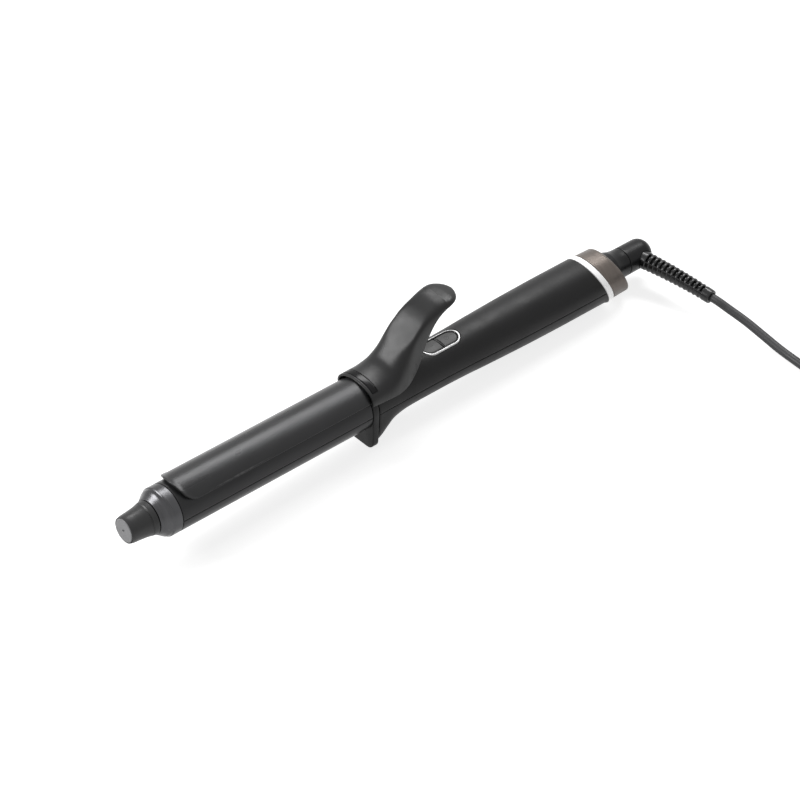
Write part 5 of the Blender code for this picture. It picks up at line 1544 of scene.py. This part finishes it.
class Swivel(Assembly):
    """Domed drum and ribbed strain relief, which turn together."""

    sizes = EndSizes()
    relief = ReliefSizes()

    def build(self) -> None:
        """Make the drum with its relief seat, and the relief with its ribs."""
        s, r = self.sizes, self.relief
        front = s.end_x + GAP
        end = front + s.drum_length
        dome_x = end - s.dome_length
        straight = [(x, s.neck_end) for x in np.linspace(front + MM, dome_x, 8)[:-1]]
        dome = [(dome_x + s.dome_length * math.sin(a), s.neck_end * math.cos(a) ** s.dome_power)
                for a in np.linspace(0, math.pi / 2, 24)[:-1]]
        drum = [(front - s.stub_length, 0), (front - s.stub_length, s.stub), (front, s.stub),
                (front, s.neck_end - s.rim), (front + s.rim_soft, s.neck_end - s.rim_soft),
                (front + s.rim, s.neck_end), *straight, *dome, (end, 0)]
        start, ahead = r.line(r.root - 0.01), r.line(r.root + 0.1)
        way = (ahead - start) / np.linalg.norm(ahead - start)
        seat = Solid().tube([start + way * place for place in s.seat_places], r.root_radius + GAP, 64)
        drum_mesh = carved("swivel_drum_fine", Solid().lathe(drum, 112), [seat])
        self.add("swivel_drum_fine", drum_mesh, Finish.BLACK, Body.SWIVEL, ("swivel_drum",))
        self.add("strain_relief_fine", self.relief_mesh(), Finish.RELIEF, Body.SWIVEL, ("strain_relief",))

    def relief_mesh(self) -> Mesh:
        """Return the relief: a body with a trench above and below, ribs across it and an end ring.

        Returns:
            The mesh in the row frame.
        """
        r = self.relief
        angles = np.linspace(0, 2 * math.pi, 96, endpoint=False)
        places = [(place, 0.0) for place in np.linspace(r.root, 1, 150)[:-4]]
        rows = [self.relief_ring(along, angles, shrink) for along, shrink in (*places, *r.end_edge)]
        mouth = ((1.0, r.end_radius - r.mouth_edge), (1.0, r.cord_hole),
                 (r.mouth_place, r.cord_hole - 0.2 * MM))
        rows += [self.ring_at(along, angles, np.full(len(angles), radius)) for along, radius in mouth]
        body = Solid().grid(rows, caps=True).mesh("strain_relief_fine", REST.matrix)
        work = bmesh.new()
        work.from_mesh(body)
        work.from_mesh(RibRow(r).mesh(self.finishes.material(Finish.RELIEF)))
        work.to_mesh(body)
        work.free()
        return body

    def ring_at(self, along: float, angles: np.ndarray, radii: np.ndarray) -> list[np.ndarray]:
        """Return a ring of points across the relief's line.

        Args:
            along: place along the line, as a share.
            angles: angle of each point from the top.
            radii: radius of each point.

        Returns:
            The points.
        """
        r = self.relief
        way = r.line(along + 0.005) - r.line(along - 0.005)
        way /= np.linalg.norm(way)
        up = np.array((0, 0, 1)) - way * way[2]
        up /= np.linalg.norm(up)
        across = np.cross(up, way)
        centre = r.line(along)
        return [centre + radius * (math.cos(a) * up + math.sin(a) * across)
                for a, radius in zip(angles, radii)]

    def relief_ring(self, along: float, angles: np.ndarray, shrink: float) -> list[np.ndarray]:
        """Return one ring of the relief's body, sunk above and below where the ribs are.

        Args:
            along: place along the line, as a share.
            angles: angle of each point from the top.
            shrink: how far the ring is moved inwards.

        Returns:
            The points.
        """
        r = self.relief
        start, end = r.ribbed
        inside = np.clip((along - start) / r.trench_end, 0, 1) * np.clip((end - along) / r.trench_end, 0, 1)
        from_top = np.abs((angles + r.trench_roll + math.pi / 2) % math.pi - math.pi / 2)
        trench = np.clip((r.trench_angle - from_top) / r.trench_side, 0, 1)
        sunk = inside * (r.rail_depth + trench * (r.trench_depth - r.rail_depth))
        return self.ring_at(along, angles, r.radius(along) - shrink - sunk)


class RibRow:
    """Row of ribs along the strain relief, placed with Geometry Nodes."""

    def __init__(self, relief: ReliefSizes) -> None:
        """Keep the relief's sizes."""
        self.relief = relief

    def rib(self) -> Object:
        """Return one rib ring of unit outer radius about Z, with a rounded crest.

        Returns:
            The object.
        """
        r = self.relief
        mean = (r.root_radius + r.end_radius) / 2
        half = r.rib_width / 2 / mean
        depth = r.rib_height / mean
        outline = rounded([(-half, 1 - depth, 0), (-half, 1, half * 0.8), (half, 1, half * 0.8),
                           (half, 1 - depth, 0)], 5)
        return linked("relief_rib", Solid().lathe(outline, 72, axis=Axis.Z).mesh("relief_rib"))

    def tree(self) -> NodeTree:
        """Return the node tree that sets a rib on each point of the relief's line.

        Returns:
            The tree.
        """
        graph = Graph.group("rib_row", "GeometryNodeTree",
                            {"Geometry": "Geometry", "Rib": "Object", "Count": "Int",
                             "First radius": "Float", "Last radius": "Float", "Seed": "Int",
                             "Material": "Material"}, {"Geometry": "Geometry"})
        for socket in graph.tree.interface.items_tree:
            if socket.name == "Count":
                socket.default_value = self.relief.ribs
        given = graph.given
        curve = graph.node("GeometryNodeMeshToCurve")
        even = graph.node("GeometryNodeResampleCurve", mode="COUNT")
        tangent = graph.node("GeometryNodeInputTangent")
        align = graph.node("FunctionNodeAlignRotationToVector", axis="Z")
        parameter = graph.node("GeometryNodeSplineParameter")
        size = graph.node("ShaderNodeMapRange")
        play = graph.node("FunctionNodeRandomValue", data_type="FLOAT")
        graph.fill(play, {2: 1 - self.relief.rib_play, 3: 1 + self.relief.rib_play})
        scale = graph.math("MULTIPLY", (size, "Result"), (play, 1))
        carrier = graph.node("GeometryNodeObjectInfo")
        place = graph.node("GeometryNodeInstanceOnPoints")
        real = graph.node("GeometryNodeRealizeInstances")
        dress = graph.node("GeometryNodeSetMaterial")
        graph.wire((given, "Geometry", curve, "Mesh"), (curve, "Curve", even, "Curve"),
                   (given, "Count", even, "Count"), (tangent, "Tangent", align, "Vector"),
                   (parameter, "Factor", size, "Value"), (given, "First radius", size, "To Min"),
                   (given, "Last radius", size, "To Max"), (given, "Seed", play, "Seed"),
                   (given, "Rib", carrier, "Object"), (even, "Curve", place, "Points"),
                   (carrier, "Geometry", place, "Instance"), (align, "Rotation", place, "Rotation"),
                   (*scale, place, "Scale"), (place, "Instances", real, "Geometry"),
                   (real, "Geometry", dress, "Geometry"), (given, "Material", dress, "Material"),
                   (dress, "Geometry", graph.made, "Geometry"))
        return graph.tree

    def mesh(self, material: Material) -> Mesh:
        """Return the ribs as a plain mesh in the row frame.

        Args:
            material: material that the ribs are set in.

        Returns:
            The mesh.
        """
        r = self.relief
        start, end = r.ribbed
        step = (end - start) / (r.ribs + 0.5)
        first, last = start + step * 0.75, end - step * 0.75
        line = [REST.place(r.line(p)) for p in np.linspace(first, last, 60)]
        data = bpy.data.meshes.new("relief_line")
        data.from_pydata(line, [(i, i + 1) for i in range(len(line) - 1)], [])
        item, rib = linked("relief_line", data), self.rib()
        modifier = item.modifiers.new("ribs", "NODES")
        modifier.node_group = self.tree()
        values = {"Rib": rib, "Count": r.ribs, "First radius": r.radius(first),
                  "Last radius": r.radius(last), "Seed": r.seed, "Material": material}
        for socket in modifier.node_group.interface.items_tree:
            if socket.in_out == "INPUT" and socket.name in values:
                modifier[socket.identifier] = values[socket.name]
        item.update_tag()
        mesh = baked(item)
        item.modifiers.remove(modifier)
        for helper in (item, rib):
            bpy.data.objects.remove(helper, do_unlink=True)
        return mesh


@dataclass(frozen=True)
class CordSizes:
    """Sizes and places of the free cord and the plug, on the ground."""

    diameter: float = 4.7 * MM
    # Places of the route, the coil, the tail and the plug are from the relief's end
    route: tuple = ((1.8, -11, 9.7), (3.3, -22, 7.4), (3.8, -34, 5.1), (3.8, -47, 3.2), (3.6, -62, 2.45))
    coil_middle: float = 56 * MM
    layers: int = 4
    turns: float = 3.5
    pitch: float = 5.2 * MM
    line_x: float = 3.6 * MM
    centre_y: float = -80.5 * MM
    tail: tuple = ((3.6, -99.5, 16.4), (5.4, -116.5, 11.2), (10.6, -125.8, 8.6), (18.4, -132, 7))
    plug_at: tuple = (33.6 * MM, -134.2 * MM)
    plug_turn: float = math.radians(90)
    plug_length: float = 34 * MM
    plug_width: float = 26 * MM
    plug_thickness: float = 13 * MM
    entry_diameter: float = 9 * MM
    plug: tuple = ((0, 0, 0), (0.12, 0.08, 0.1), (0.3, 0.3, 0.5), (0.5, 0.72, 0.85), (0.68, 0.95, 1),
                   (1, 1, 1))
    plug_power: float = 3.2
    plug_edge: float = 1.2 * MM
    plug_seat: float = 2 * MM
    pin_spacing: float = 18.6 * MM
    pin_radius: float = 2 * MM
    pin_length: float = 19 * MM
    pin_seat: float = 5 * MM
    coil_steps: int = 72
    spacing: float = 2.2 * MM
    # The stretch from the relief to the coil has closer rings
    run_spacing: float = 0.8 * MM
    bend_reach: float = 40.5 * MM


class CordAndPlug(Assembly):
    """Free cord in one piece from the relief to the plug, and the plug."""

    sizes = CordSizes()
    relief = ReliefSizes()

    @property
    def way(self) -> np.ndarray:
        """Direction in which the plug points."""
        turn = self.sizes.plug_turn
        return np.array((math.sin(turn), -math.cos(turn), 0))

    @property
    def across(self) -> np.ndarray:
        """Direction across the plug."""
        turn = self.sizes.plug_turn
        return np.array((math.cos(turn), math.sin(turn), 0))

    @property
    def origin(self) -> np.ndarray:
        """Point on the ground under the relief's end."""
        end = REST.place(self.relief.line(1.0))
        return np.array((end.x, end.y, 0))

    @property
    def entry(self) -> np.ndarray:
        """Point where the cord enters the plug."""
        s = self.sizes
        return self.origin + (*s.plug_at, s.plug_thickness / 2)

    def coil_point(self, turn: float) -> np.ndarray:
        """Return the coil's centre line at a place.

        Args:
            turn: number of turns from the coil's start.

        Returns:
            The point.
        """
        s = self.sizes
        half_band = s.turns * s.pitch / 2
        outer = s.coil_middle / 2 + half_band
        layer = min(int(turn / s.turns), s.layers - 1)
        within = turn / s.turns - layer
        inward = within if layer % 2 == 0 else 1 - within
        radius = outer - inward * 2 * half_band
        height = s.diameter / 2
        for step in range(1, s.layers):
            rise = np.clip((turn - step * s.turns) * 2 + 1 / 2, 0, 1)
            height += s.pitch * rise * rise * (3 - 2 * rise)
        angle = math.pi + 2 * math.pi * turn
        return self.origin + (s.line_x + outer + radius * math.cos(angle),
                              s.centre_y + radius * math.sin(angle), height)

    def path(self) -> tuple[np.ndarray, np.ndarray]:
        """Return the way of the cord.

        Returns:
            Its centre line and the place where it leaves the relief.
        """
        s, r = self.sizes, self.relief
        start = [np.array(REST.place(r.line(p))) for p in (0.88, 0.94, 1.0)]
        leave = start[-1]
        direction = (leave - start[1]) / np.linalg.norm(leave - start[1])
        turns = s.layers * s.turns
        count = round(turns * s.coil_steps)
        coil = np.array([self.coil_point(turns * i / count) for i in range(count + 1)])
        lead = np.array((0, s.diameter, 0))
        ahead, behind = coil[0] + lead, coil[-1] - lead
        route, tail = ([self.origin + np.array(place) * MM for place in places]
                       for places in (s.route, s.tail))
        run = smooth_route([*start, leave + direction * (s.diameter + GAP), *route, ahead + lead, ahead],
                           s.run_spacing / 4)
        tail = smooth_route([behind, behind - lead, *tail, self.entry - self.way * s.diameter,
                             self.entry, self.entry + self.way * s.plug_seat], s.spacing)
        run = even_points(run, s.run_spacing)
        rest = even_points(np.vstack((run[-1:], coil, tail)), s.spacing)
        return np.vstack((run, rest[1:])), leave

    def build(self) -> None:
        """Make cord, plug and pins."""
        s = self.sizes
        line, leave = self.path()
        mesh = Solid().tube(line, s.diameter / 2, 20).mesh("power_cord")
        cord = self.add("power_cord", mesh, Finish.RUBBER, None, ("cord_run", "cord_coil", "cord_tail"))
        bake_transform(cord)
        plug = self.add("plug_body_fine", self.plug_mesh(), Finish.BLACK, Body.TONG, ("plug_body",))
        for node, side in (("plug_pin_right", -1), ("plug_pin_left", 1)):
            piece = node + "_fine"
            self.add(piece, self.pin_mesh(piece, side), Finish.STEEL, Body.TONG, (node,))

    def plug_mesh(self) -> Mesh:
        """Return the plug's body with rounded edges.

        Returns:
            The mesh in the row frame.
        """
        s = self.sizes
        soft = s.plug_edge
        rows = []
        for along in np.linspace(0, 1, 40):
            wide, thick = (float(read_table(s.plug, along, column)) for column in (1, 2))
            half_width = (s.entry_diameter + wide * (s.plug_width - s.entry_diameter)) / 2
            half_height = (s.entry_diameter + thick * (s.plug_thickness - s.entry_diameter)) / 2
            near_end = min(along, 1 - along) * s.plug_length
            shrink = soft - math.sqrt(max(0.0, soft ** 2 - max(0.0, soft - near_end) ** 2))
            rows.append(self.plug_ring(along, half_width - shrink, half_height - shrink,
                                       2 + wide * (s.plug_power - 2)))
        return Solid().grid(rows, caps=True).mesh("plug_body_fine")

    def plug_ring(self, along: float, half_width: float, half_height: float,
                  power: float) -> list[np.ndarray]:
        """Return one ring of the plug.

        Args:
            along: place along the plug, as a share.
            half_width: half width of the ring.
            half_height: half height of the ring.
            power: power of its outline.

        Returns:
            The points.
        """
        middle = self.entry + self.way * (along * self.sizes.plug_length)
        ring = []
        for angle in np.linspace(0, 2 * math.pi, 72, endpoint=False):
            side, rise = powered(math.cos(angle), power), powered(math.sin(angle), power)
            ring.append(middle + self.across * (side * half_width) + (0, 0, rise * half_height))
        return ring

    def pin_mesh(self, name: str, side: int) -> Mesh:
        """Return one plug pin with a rounded end.

        Args:
            name: name of the mesh.
            side: 1 for the left pin, -1 for the right one.

        Returns:
            The mesh in the row frame.
        """
        s = self.sizes
        root = self.entry + self.across * (side * s.pin_spacing / 2) + self.way * (s.plug_length - s.pin_seat)
        reach = s.pin_seat + s.pin_length
        turns = np.linspace(0, math.radians(75), 8)
        line = [root, root + self.way * s.pin_seat]
        line += [root + self.way * (reach - s.pin_radius * (1 - math.sin(t))) for t in turns]
        radii = [s.pin_radius, s.pin_radius, *(s.pin_radius * math.cos(t) for t in turns)]
        return Solid().tube(line, radii, 32).mesh(name)


@dataclass(frozen=True)
class Look:
    """How one finish looks.

    Colours are linear. Grain is in metres; the edge share is how far convex edges take the lighter edge
    colour, which stands partly for edge wear and partly for a painted highlight on rounded edges.
    """

    colour: tuple
    roughness: float
    metallic: float = 0.0
    # Lighter colour of convex edges and its share: partly edge wear, partly a painted edge highlight
    worn_and_highlight: tuple = (0.3, 0.3, 0.3)
    wear: float = 0.15
    mottle: float = 0.12
    grain: float = 0.25 * MM
    bump: float = 0.02 * MM
    rough_play: float = 0.06
    stretch: tuple = (1, 1, 1)
    specular: float = 0.5
    glow: float = 0.0


LOOKS = {
    Finish.CHARCOAL: Look((0.0075, 0.0075, 0.0078), 0.44, worn_and_highlight=(0.04, 0.04, 0.041), specular=0.22),
    Finish.LEVER: Look((0.0075, 0.0075, 0.0078), 0.38, worn_and_highlight=(0.05, 0.05, 0.051), specular=0.3),
    Finish.BARREL: Look((0.03, 0.03, 0.031), 0.33, 0.5, worn_and_highlight=(0.16, 0.16, 0.16), grain=0.16 * MM,
                        stretch=(0.25, 1, 1), specular=0.25),
    # The clamp's lighter edges are partly a painted highlight, for the bright line along the plate's front
    # lip
    Finish.CLAMP: Look((0.034, 0.034, 0.035), 0.3, 0.5, worn_and_highlight=(0.2, 0.2, 0.2), wear=0.3, grain=0.16 * MM,
                       stretch=(0.25, 1, 1), specular=0.25),
    Finish.TIP: Look((0.012, 0.012, 0.0125), 0.38, worn_and_highlight=(0.08, 0.08, 0.08), bump=0.01 * MM, specular=0.42),
    Finish.SATIN: Look((0.07, 0.07, 0.073), 0.3, 0.9, grain=0.2 * MM, bump=0.005 * MM,
                       stretch=(4, 0.4, 0.4)),
    Finish.PALE: Look((0.22, 0.22, 0.225), 0.45, worn_and_highlight=(0.5, 0.5, 0.5), specular=0.3),
    Finish.PEWTER: Look((0.13, 0.112, 0.1), 0.4, 0.75, worn_and_highlight=(0.35, 0.32, 0.3), grain=0.2 * MM,
                        stretch=(4, 0.4, 0.4), specular=0.3),
    Finish.LIGHT: Look((0.88, 0.88, 0.88), 0.3, worn_and_highlight=(0.8, 0.8, 0.78), wear=0.05, mottle=0.03, glow=0.4),
    Finish.CHROME: Look((0.36, 0.36, 0.36), 0.4, 1.0, worn_and_highlight=(0.4, 0.4, 0.4), mottle=0.05, bump=0.004 * MM,
                        rough_play=0.03),
    Finish.BUTTON: Look((0.045, 0.045, 0.045), 0.42, worn_and_highlight=(0.1, 0.1, 0.1), specular=0.3),
    Finish.GLOSS: Look((0.004, 0.004, 0.0045), 0.2, worn_and_highlight=(0.05, 0.05, 0.05), mottle=0.08, bump=0.006 * MM,
                       rough_play=0.04, specular=0.15),
    Finish.RELIEF: Look((0.006, 0.006, 0.0065), 0.26, worn_and_highlight=(0.06, 0.06, 0.06), mottle=0.08, bump=0.006 * MM,
                        rough_play=0.04, specular=0.42),
    Finish.BLACK: Look((0.005, 0.005, 0.0055), 0.34, worn_and_highlight=(0.04, 0.04, 0.04), bump=0.012 * MM, specular=0.2),
    Finish.CERAMIC: Look((0.7, 0.68, 0.62), 0.7, worn_and_highlight=(0.8, 0.78, 0.72)),
    Finish.HEAT: Look((0.4, 0.32, 0.2), 0.6, worn_and_highlight=(0.5, 0.42, 0.3)),
    Finish.BOARD: Look((0.02, 0.12, 0.05), 0.45, worn_and_highlight=(0.1, 0.2, 0.12)),
    Finish.STEEL: Look((0.55, 0.55, 0.56), 0.3, 1.0, worn_and_highlight=(0.75, 0.75, 0.75), stretch=(1, 3, 1)),
    Finish.RUBBER: Look((0.04, 0.04, 0.042), 0.5, worn_and_highlight=(0.1, 0.1, 0.1), grain=0.3 * MM, specular=0.35),
}


@dataclass(frozen=True)
class ButtonMarks:
    """Sunk marks on the buttons: a ring with a dot, and a short bar."""

    ring_x: float = 54.2 * MM
    ring_radius: float = 1.25 * MM
    dot_radius: float = 0.36 * MM
    bar_x: float = 43.7 * MM
    bar_length: float = 2.2 * MM
    line: float = 0.3 * MM
    height: float = 12.5 * MM

    def mask(self, graph: Graph, place: Node) -> Output:
        """Return the output that is 1 on the marks.

        Args:
            graph: the material's graph.
            place: its node of texture coordinates.

        Returns:
            The output.
        """
        ring_x, bar_x = (REST.place((x, 0, self.height)).x for x in (self.ring_x, self.bar_x))
        flat = graph.node("ShaderNodeMapping", {"Scale": (1, 1, 0)})
        away = graph.node("ShaderNodeVectorMath", {1: (ring_x, 0, 0)}, operation="DISTANCE")
        parts = graph.node("ShaderNodeSeparateXYZ")
        graph.wire((place, "Object", flat, "Vector"), (flat, "Vector", away, 0),
                   (flat, "Vector", parts, "Vector"))
        ring = graph.math("COMPARE", (away, "Value"), self.ring_radius, self.line / 2)
        dot = graph.math("COMPARE", (away, "Value"), 0, self.dot_radius)
        along = graph.math("COMPARE", (parts, "X"), bar_x, self.bar_length / 2)
        across = graph.math("COMPARE", (parts, "Y"), 0, self.line / 2)
        return graph.math("MAXIMUM", graph.math("MAXIMUM", ring, dot), graph.math("MULTIPLY", along, across))


class FinishLibrary:
    """Makes the procedural materials, each once."""

    def __init__(self, looks: dict[Finish, Look]) -> None:
        """Keep the looks and make the shared groups.

        Args:
            looks: how each finish looks.
        """
        self.looks = looks
        self.made: dict[Finish, Material] = {}
        self.grain = self.grain_group()
        self.wear = self.wear_and_highlight_group()

    def material(self, finish: Finish) -> Material:
        """Return the material of a finish, made at its first use.

        Args:
            finish: the finish.

        Returns:
            The material.
        """
        if finish not in self.made:
            self.made[finish] = self.make(finish)
        return self.made[finish]

    @staticmethod
    def grain_group() -> NodeTree:
        """Return the shared group of moulding grain: a fine height and a broad mottle.

        Returns:
            The group.
        """
        graph = Graph.group("surface_grain", "ShaderNodeTree", {"Vector": "Vector", "Fine scale": "Float"},
                            {"Height": "Float", "Mottle": "Float"})
        fine = graph.node("ShaderNodeTexNoise", {"Detail": 3})
        cells = graph.node("ShaderNodeTexVoronoi")
        broad = graph.node("ShaderNodeTexNoise", {"Scale": 90, "Detail": 4})
        spread = graph.node("ShaderNodeMapRange", {"From Min": 0.3, "From Max": 0.7})
        height = graph.math("MULTIPLY_ADD", (cells, "Distance"), 0.4, (fine, "Fac"))
        graph.wire(*((graph.given, "Vector", node, "Vector") for node in (fine, cells, broad)),
                   *((graph.given, "Fine scale", node, "Scale") for node in (fine, cells)),
                   (*height, graph.made, "Height"), (broad, "Fac", spread, "Value"),
                   (spread, "Result", graph.made, "Mottle"))
        return graph.tree

    @staticmethod
    def wear_and_highlight_group() -> NodeTree:
        """Return the shared group of edge wear and painted edge highlight: a mask on outer edges, broken up
        by noise.

        Returns:
            The group.
        """
        graph = Graph.group("edge_wear_and_highlight", "ShaderNodeTree", {"Vector": "Vector"}, {"Mask": "Float"})
        geometry = graph.node("ShaderNodeNewGeometry")
        edge = graph.node("ShaderNodeMapRange", {"From Min": 0.52, "From Max": 0.62})
        patch = graph.node("ShaderNodeTexNoise", {"Scale": 400, "Detail": 4})
        broken = graph.node("ShaderNodeMapRange", {"From Min": 0.35, "From Max": 0.65})
        graph.wire((geometry, "Pointiness", edge, "Value"), (graph.given, "Vector", patch, "Vector"),
                   (patch, "Fac", broken, "Value"))
        mask = graph.math("MULTIPLY", (edge, "Result"), (broken, "Result"))
        graph.wire((*mask, graph.made, "Mask"))
        return graph.tree

    def make(self, finish: Finish) -> Material:
        """Return a new material for a finish.

        Args:
            finish: the finish.

        Returns:
            The material.
        """
        look = self.looks[finish]
        material = bpy.data.materials.new(finish.value + "_look")
        material.use_nodes = True
        graph = Graph(material.node_tree)
        shader = graph.tree.nodes["Principled BSDF"]
        dark, light, sunk = ([min(1, c * share) for c in look.colour]
                             for share in (1 - look.mottle, 1 + look.mottle, 1 / 9))
        place = graph.node("ShaderNodeTexCoord")
        turn = graph.node("ShaderNodeMapping", {"Scale": look.stretch})
        grain = graph.node("ShaderNodeGroup", {"Fine scale": 1 / look.grain}, node_tree=self.grain)
        wear = graph.node("ShaderNodeGroup", node_tree=self.wear)
        shade = graph.node("ShaderNodeMix", {MIX_A: (*dark, 1), MIX_B: (*light, 1)}, data_type="RGBA")
        worn_and_highlight = graph.node("ShaderNodeMix", {MIX_B: (*look.worn_and_highlight, 1)}, data_type="RGBA")
        rough = graph.node("ShaderNodeMapRange", {"To Min": max(0.02, look.roughness - look.rough_play),
                                                  "To Max": look.roughness + look.rough_play})
        bump = graph.node("ShaderNodeBump", {"Strength": 1, "Distance": look.bump})
        # Convex edges lighten towards the edge colour: partly edge wear, partly a painted highlight
        amount = graph.math("MULTIPLY", (wear, "Mask"), look.wear)
        graph.wire((place, "Object", turn, "Vector"), (turn, "Vector", grain, "Vector"),
                   (place, "Object", wear, "Vector"), (grain, "Mottle", shade, 0),
                   (grain, "Mottle", rough, "Value"), (grain, "Height", bump, "Height"),
                   (*amount, worn_and_highlight, 0), (shade, MIX_RESULT, worn_and_highlight, MIX_A))
        colour = worn_and_highlight
        if finish is Finish.BUTTON:
            colour = graph.node("ShaderNodeMix", {MIX_B: (*sunk, 1)}, data_type="RGBA")
            graph.wire((*ButtonMarks().mask(graph, place), colour, 0), (worn_and_highlight, MIX_RESULT, colour, MIX_A))
        graph.wire((colour, MIX_RESULT, shader, "Base Color"), (rough, "Result", shader, "Roughness"),
                   (bump, "Normal", shader, "Normal"))
        graph.fill(shader, {"Metallic": look.metallic, "Specular IOR Level": look.specular})
        if look.glow:
            graph.fill(shader, {"Emission Color": (*look.colour, 1), "Emission Strength": look.glow})
        return material


class InnerParts(Assembly):
    """CAD nodes that stay as they are and only get better materials."""

    def build(self) -> None:
        """Build nothing: the nodes are the frame's."""

    def dress(self) -> None:
        """Put the material of its own finish in each slot of the CAD nodes that stay."""
        known = {finish.value: finish for finish in Finish}
        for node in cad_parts.values():
            if node.hide_render:
                continue
            for slot in node.material_slots:
                name = slot.material.name.split(".")[0] if slot.material else ""
                if name in known:
                    slot.material = self.finishes.material(known[name])
                else:
                    LOG.warning("no finish for %s of %s", name, node.name)


# Studio


@dataclass(frozen=True)
class CameraSetup:
    """Camera fitted to the tong: where it is and how it looks, in the row frame."""

    location: Point = (-0.77924195, -0.8496858, 1.00357143)
    right: Point = (0.74391115, -0.66818046, 0.01144838)
    down: Point = (-0.43043783, -0.49218678, -0.75662108)
    forward: Point = (0.51119416, 0.55793104, -0.65375338)
    lens: float = 135.0
    sensor: float = 36.0

    def build(self) -> None:
        """Make the camera and set it as the scene's."""
        data = bpy.data.cameras.new("main_camera")
        data.lens = self.lens
        data.sensor_width = self.sensor
        data.clip_start, data.clip_end = 0.05, 20
        camera = linked("main_camera", data)
        axes = Matrix((self.right, [-v for v in self.down], [-v for v in self.forward])).transposed()
        camera.matrix_world = Matrix.Translation(self.location) @ axes.to_4x4()
        bpy.context.scene.camera = camera


@dataclass(frozen=True)
class Lamp:
    """One soft area lamp, aimed at a point."""

    name: str
    location: Point
    target: Point
    size: Flat
    watts: float

    def build(self) -> None:
        """Make the lamp."""
        data = bpy.data.lights.new(self.name, "AREA")
        data.shape = "RECTANGLE"
        data.size, data.size_y = self.size
        data.energy = self.watts
        lamp = linked(self.name, data)
        way = Vector(self.target) - Vector(self.location)
        lamp.rotation_euler = way.to_track_quat("-Z", "Y").to_euler()
        lamp.location = self.location


@dataclass(frozen=True)
class Studio:
    """Pale floor, white surroundings and soft lamps."""

    floor_reach: float = 3.0
    floor_colour: Point = (0.5, 0.5, 0.5)
    floor_lift: float = 0.8
    world_level: float = 0.2
    lamps: tuple[Lamp, ...] = (
        Lamp("key_lamp", (-0.68, 0.5, 0.6), (-0.06, 0, 0.02), (0.42, 0.42), 8),
        Lamp("top_strip", (0.64, 0.42, 1.05), (0, 0, 0.02), (1.0, 0.3), 12))

    def build(self) -> None:
        """Make the floor, the world and the lamps."""
        scene = bpy.context.scene
        scene.view_settings.view_transform = "Standard"
        reach = self.floor_reach
        data = bpy.data.meshes.new("floor")
        data.from_pydata([(x * reach, y * reach, 0) for x, y in ((-1, -1), (1, -1), (1, 1), (-1, 1))], [],
                         [(0, 1, 2, 3)])
        floor = linked("floor", data)
        data.materials.append(self.floor_material())
        scene.world = self.world()
        for lamp in self.lamps:
            lamp.build()

    @staticmethod
    def seen(graph: Graph) -> Output:
        """Return the output that is 1 for camera, glossy and transmission rays.

        Args:
            graph: the graph that it is made in.

        Returns:
            The output.
        """
        path = graph.node("ShaderNodeLightPath")
        first = graph.math("MAXIMUM", (path, "Is Camera Ray"), (path, "Is Glossy Ray"))
        return graph.math("MAXIMUM", first, (path, "Is Transmission Ray"))

    def floor_material(self) -> Material:
        """Return the floor's material: a pale colour, lifted where it is seen directly.

        Returns:
            The material.
        """
        material = bpy.data.materials.new("pale_floor")
        material.use_nodes = True
        graph = Graph(material.node_tree)
        shader = graph.tree.nodes["Principled BSDF"]
        graph.fill(shader, {"Base Color": (*self.floor_colour, 1), "Roughness": 0.9,
                            "Specular IOR Level": 0.0, "Emission Color": (1, 1, 1, 1)})
        lift = graph.math("MULTIPLY", self.seen(graph), self.floor_lift)
        graph.wire((*lift, shader, "Emission Strength"))
        return material

    def world(self) -> World:
        """Return the world: white where it is seen, softer where it lights.

        Returns:
            The world.
        """
        world = bpy.data.worlds.new("white_surroundings")
        world.use_nodes = True
        graph = Graph(world.node_tree)
        back = graph.tree.nodes["Background"]
        graph.fill(back, {"Color": (1, 1, 1, 1)})
        level = graph.node("ShaderNodeMapRange", {"To Min": self.world_level, "To Max": 1})
        graph.wire((*self.seen(graph), level, "Value"), (level, "Result", back, "Strength"))
        return world


def corners(pair: Sequence[Sequence[float]]) -> list[list[float]]:
    """Return two corners as plain lists."""
    return [list(map(float, corner)) for corner in pair]


def main() -> None:
    """Build the studio, all sub-assemblies and their finishes."""
    logging.basicConfig(level=logging.INFO)
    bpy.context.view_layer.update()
    CameraSetup().build()
    Studio().build()
    finishes = FinishLibrary(LOOKS)
    lever = Lever(finishes)
    assemblies = [Swivel(finishes), CordAndPlug(finishes), TipAssembly(finishes), Barrel(finishes),
                  ClampPlate(finishes), lever, TorsionSpring(finishes, lever), StandCollar(finishes),
                  Handle(finishes), ButtonPanel(finishes), EndFittings(finishes), InnerParts(finishes)]
    for assembly in assemblies:
        assembly.build()
        for item, finish in assembly.pieces:
            LOG.info("%s: %s in %s", type(assembly).__name__, item.name, finish.value)
    for assembly in assemblies:
        assembly.dress()


if __name__ == "__main__":
    main()
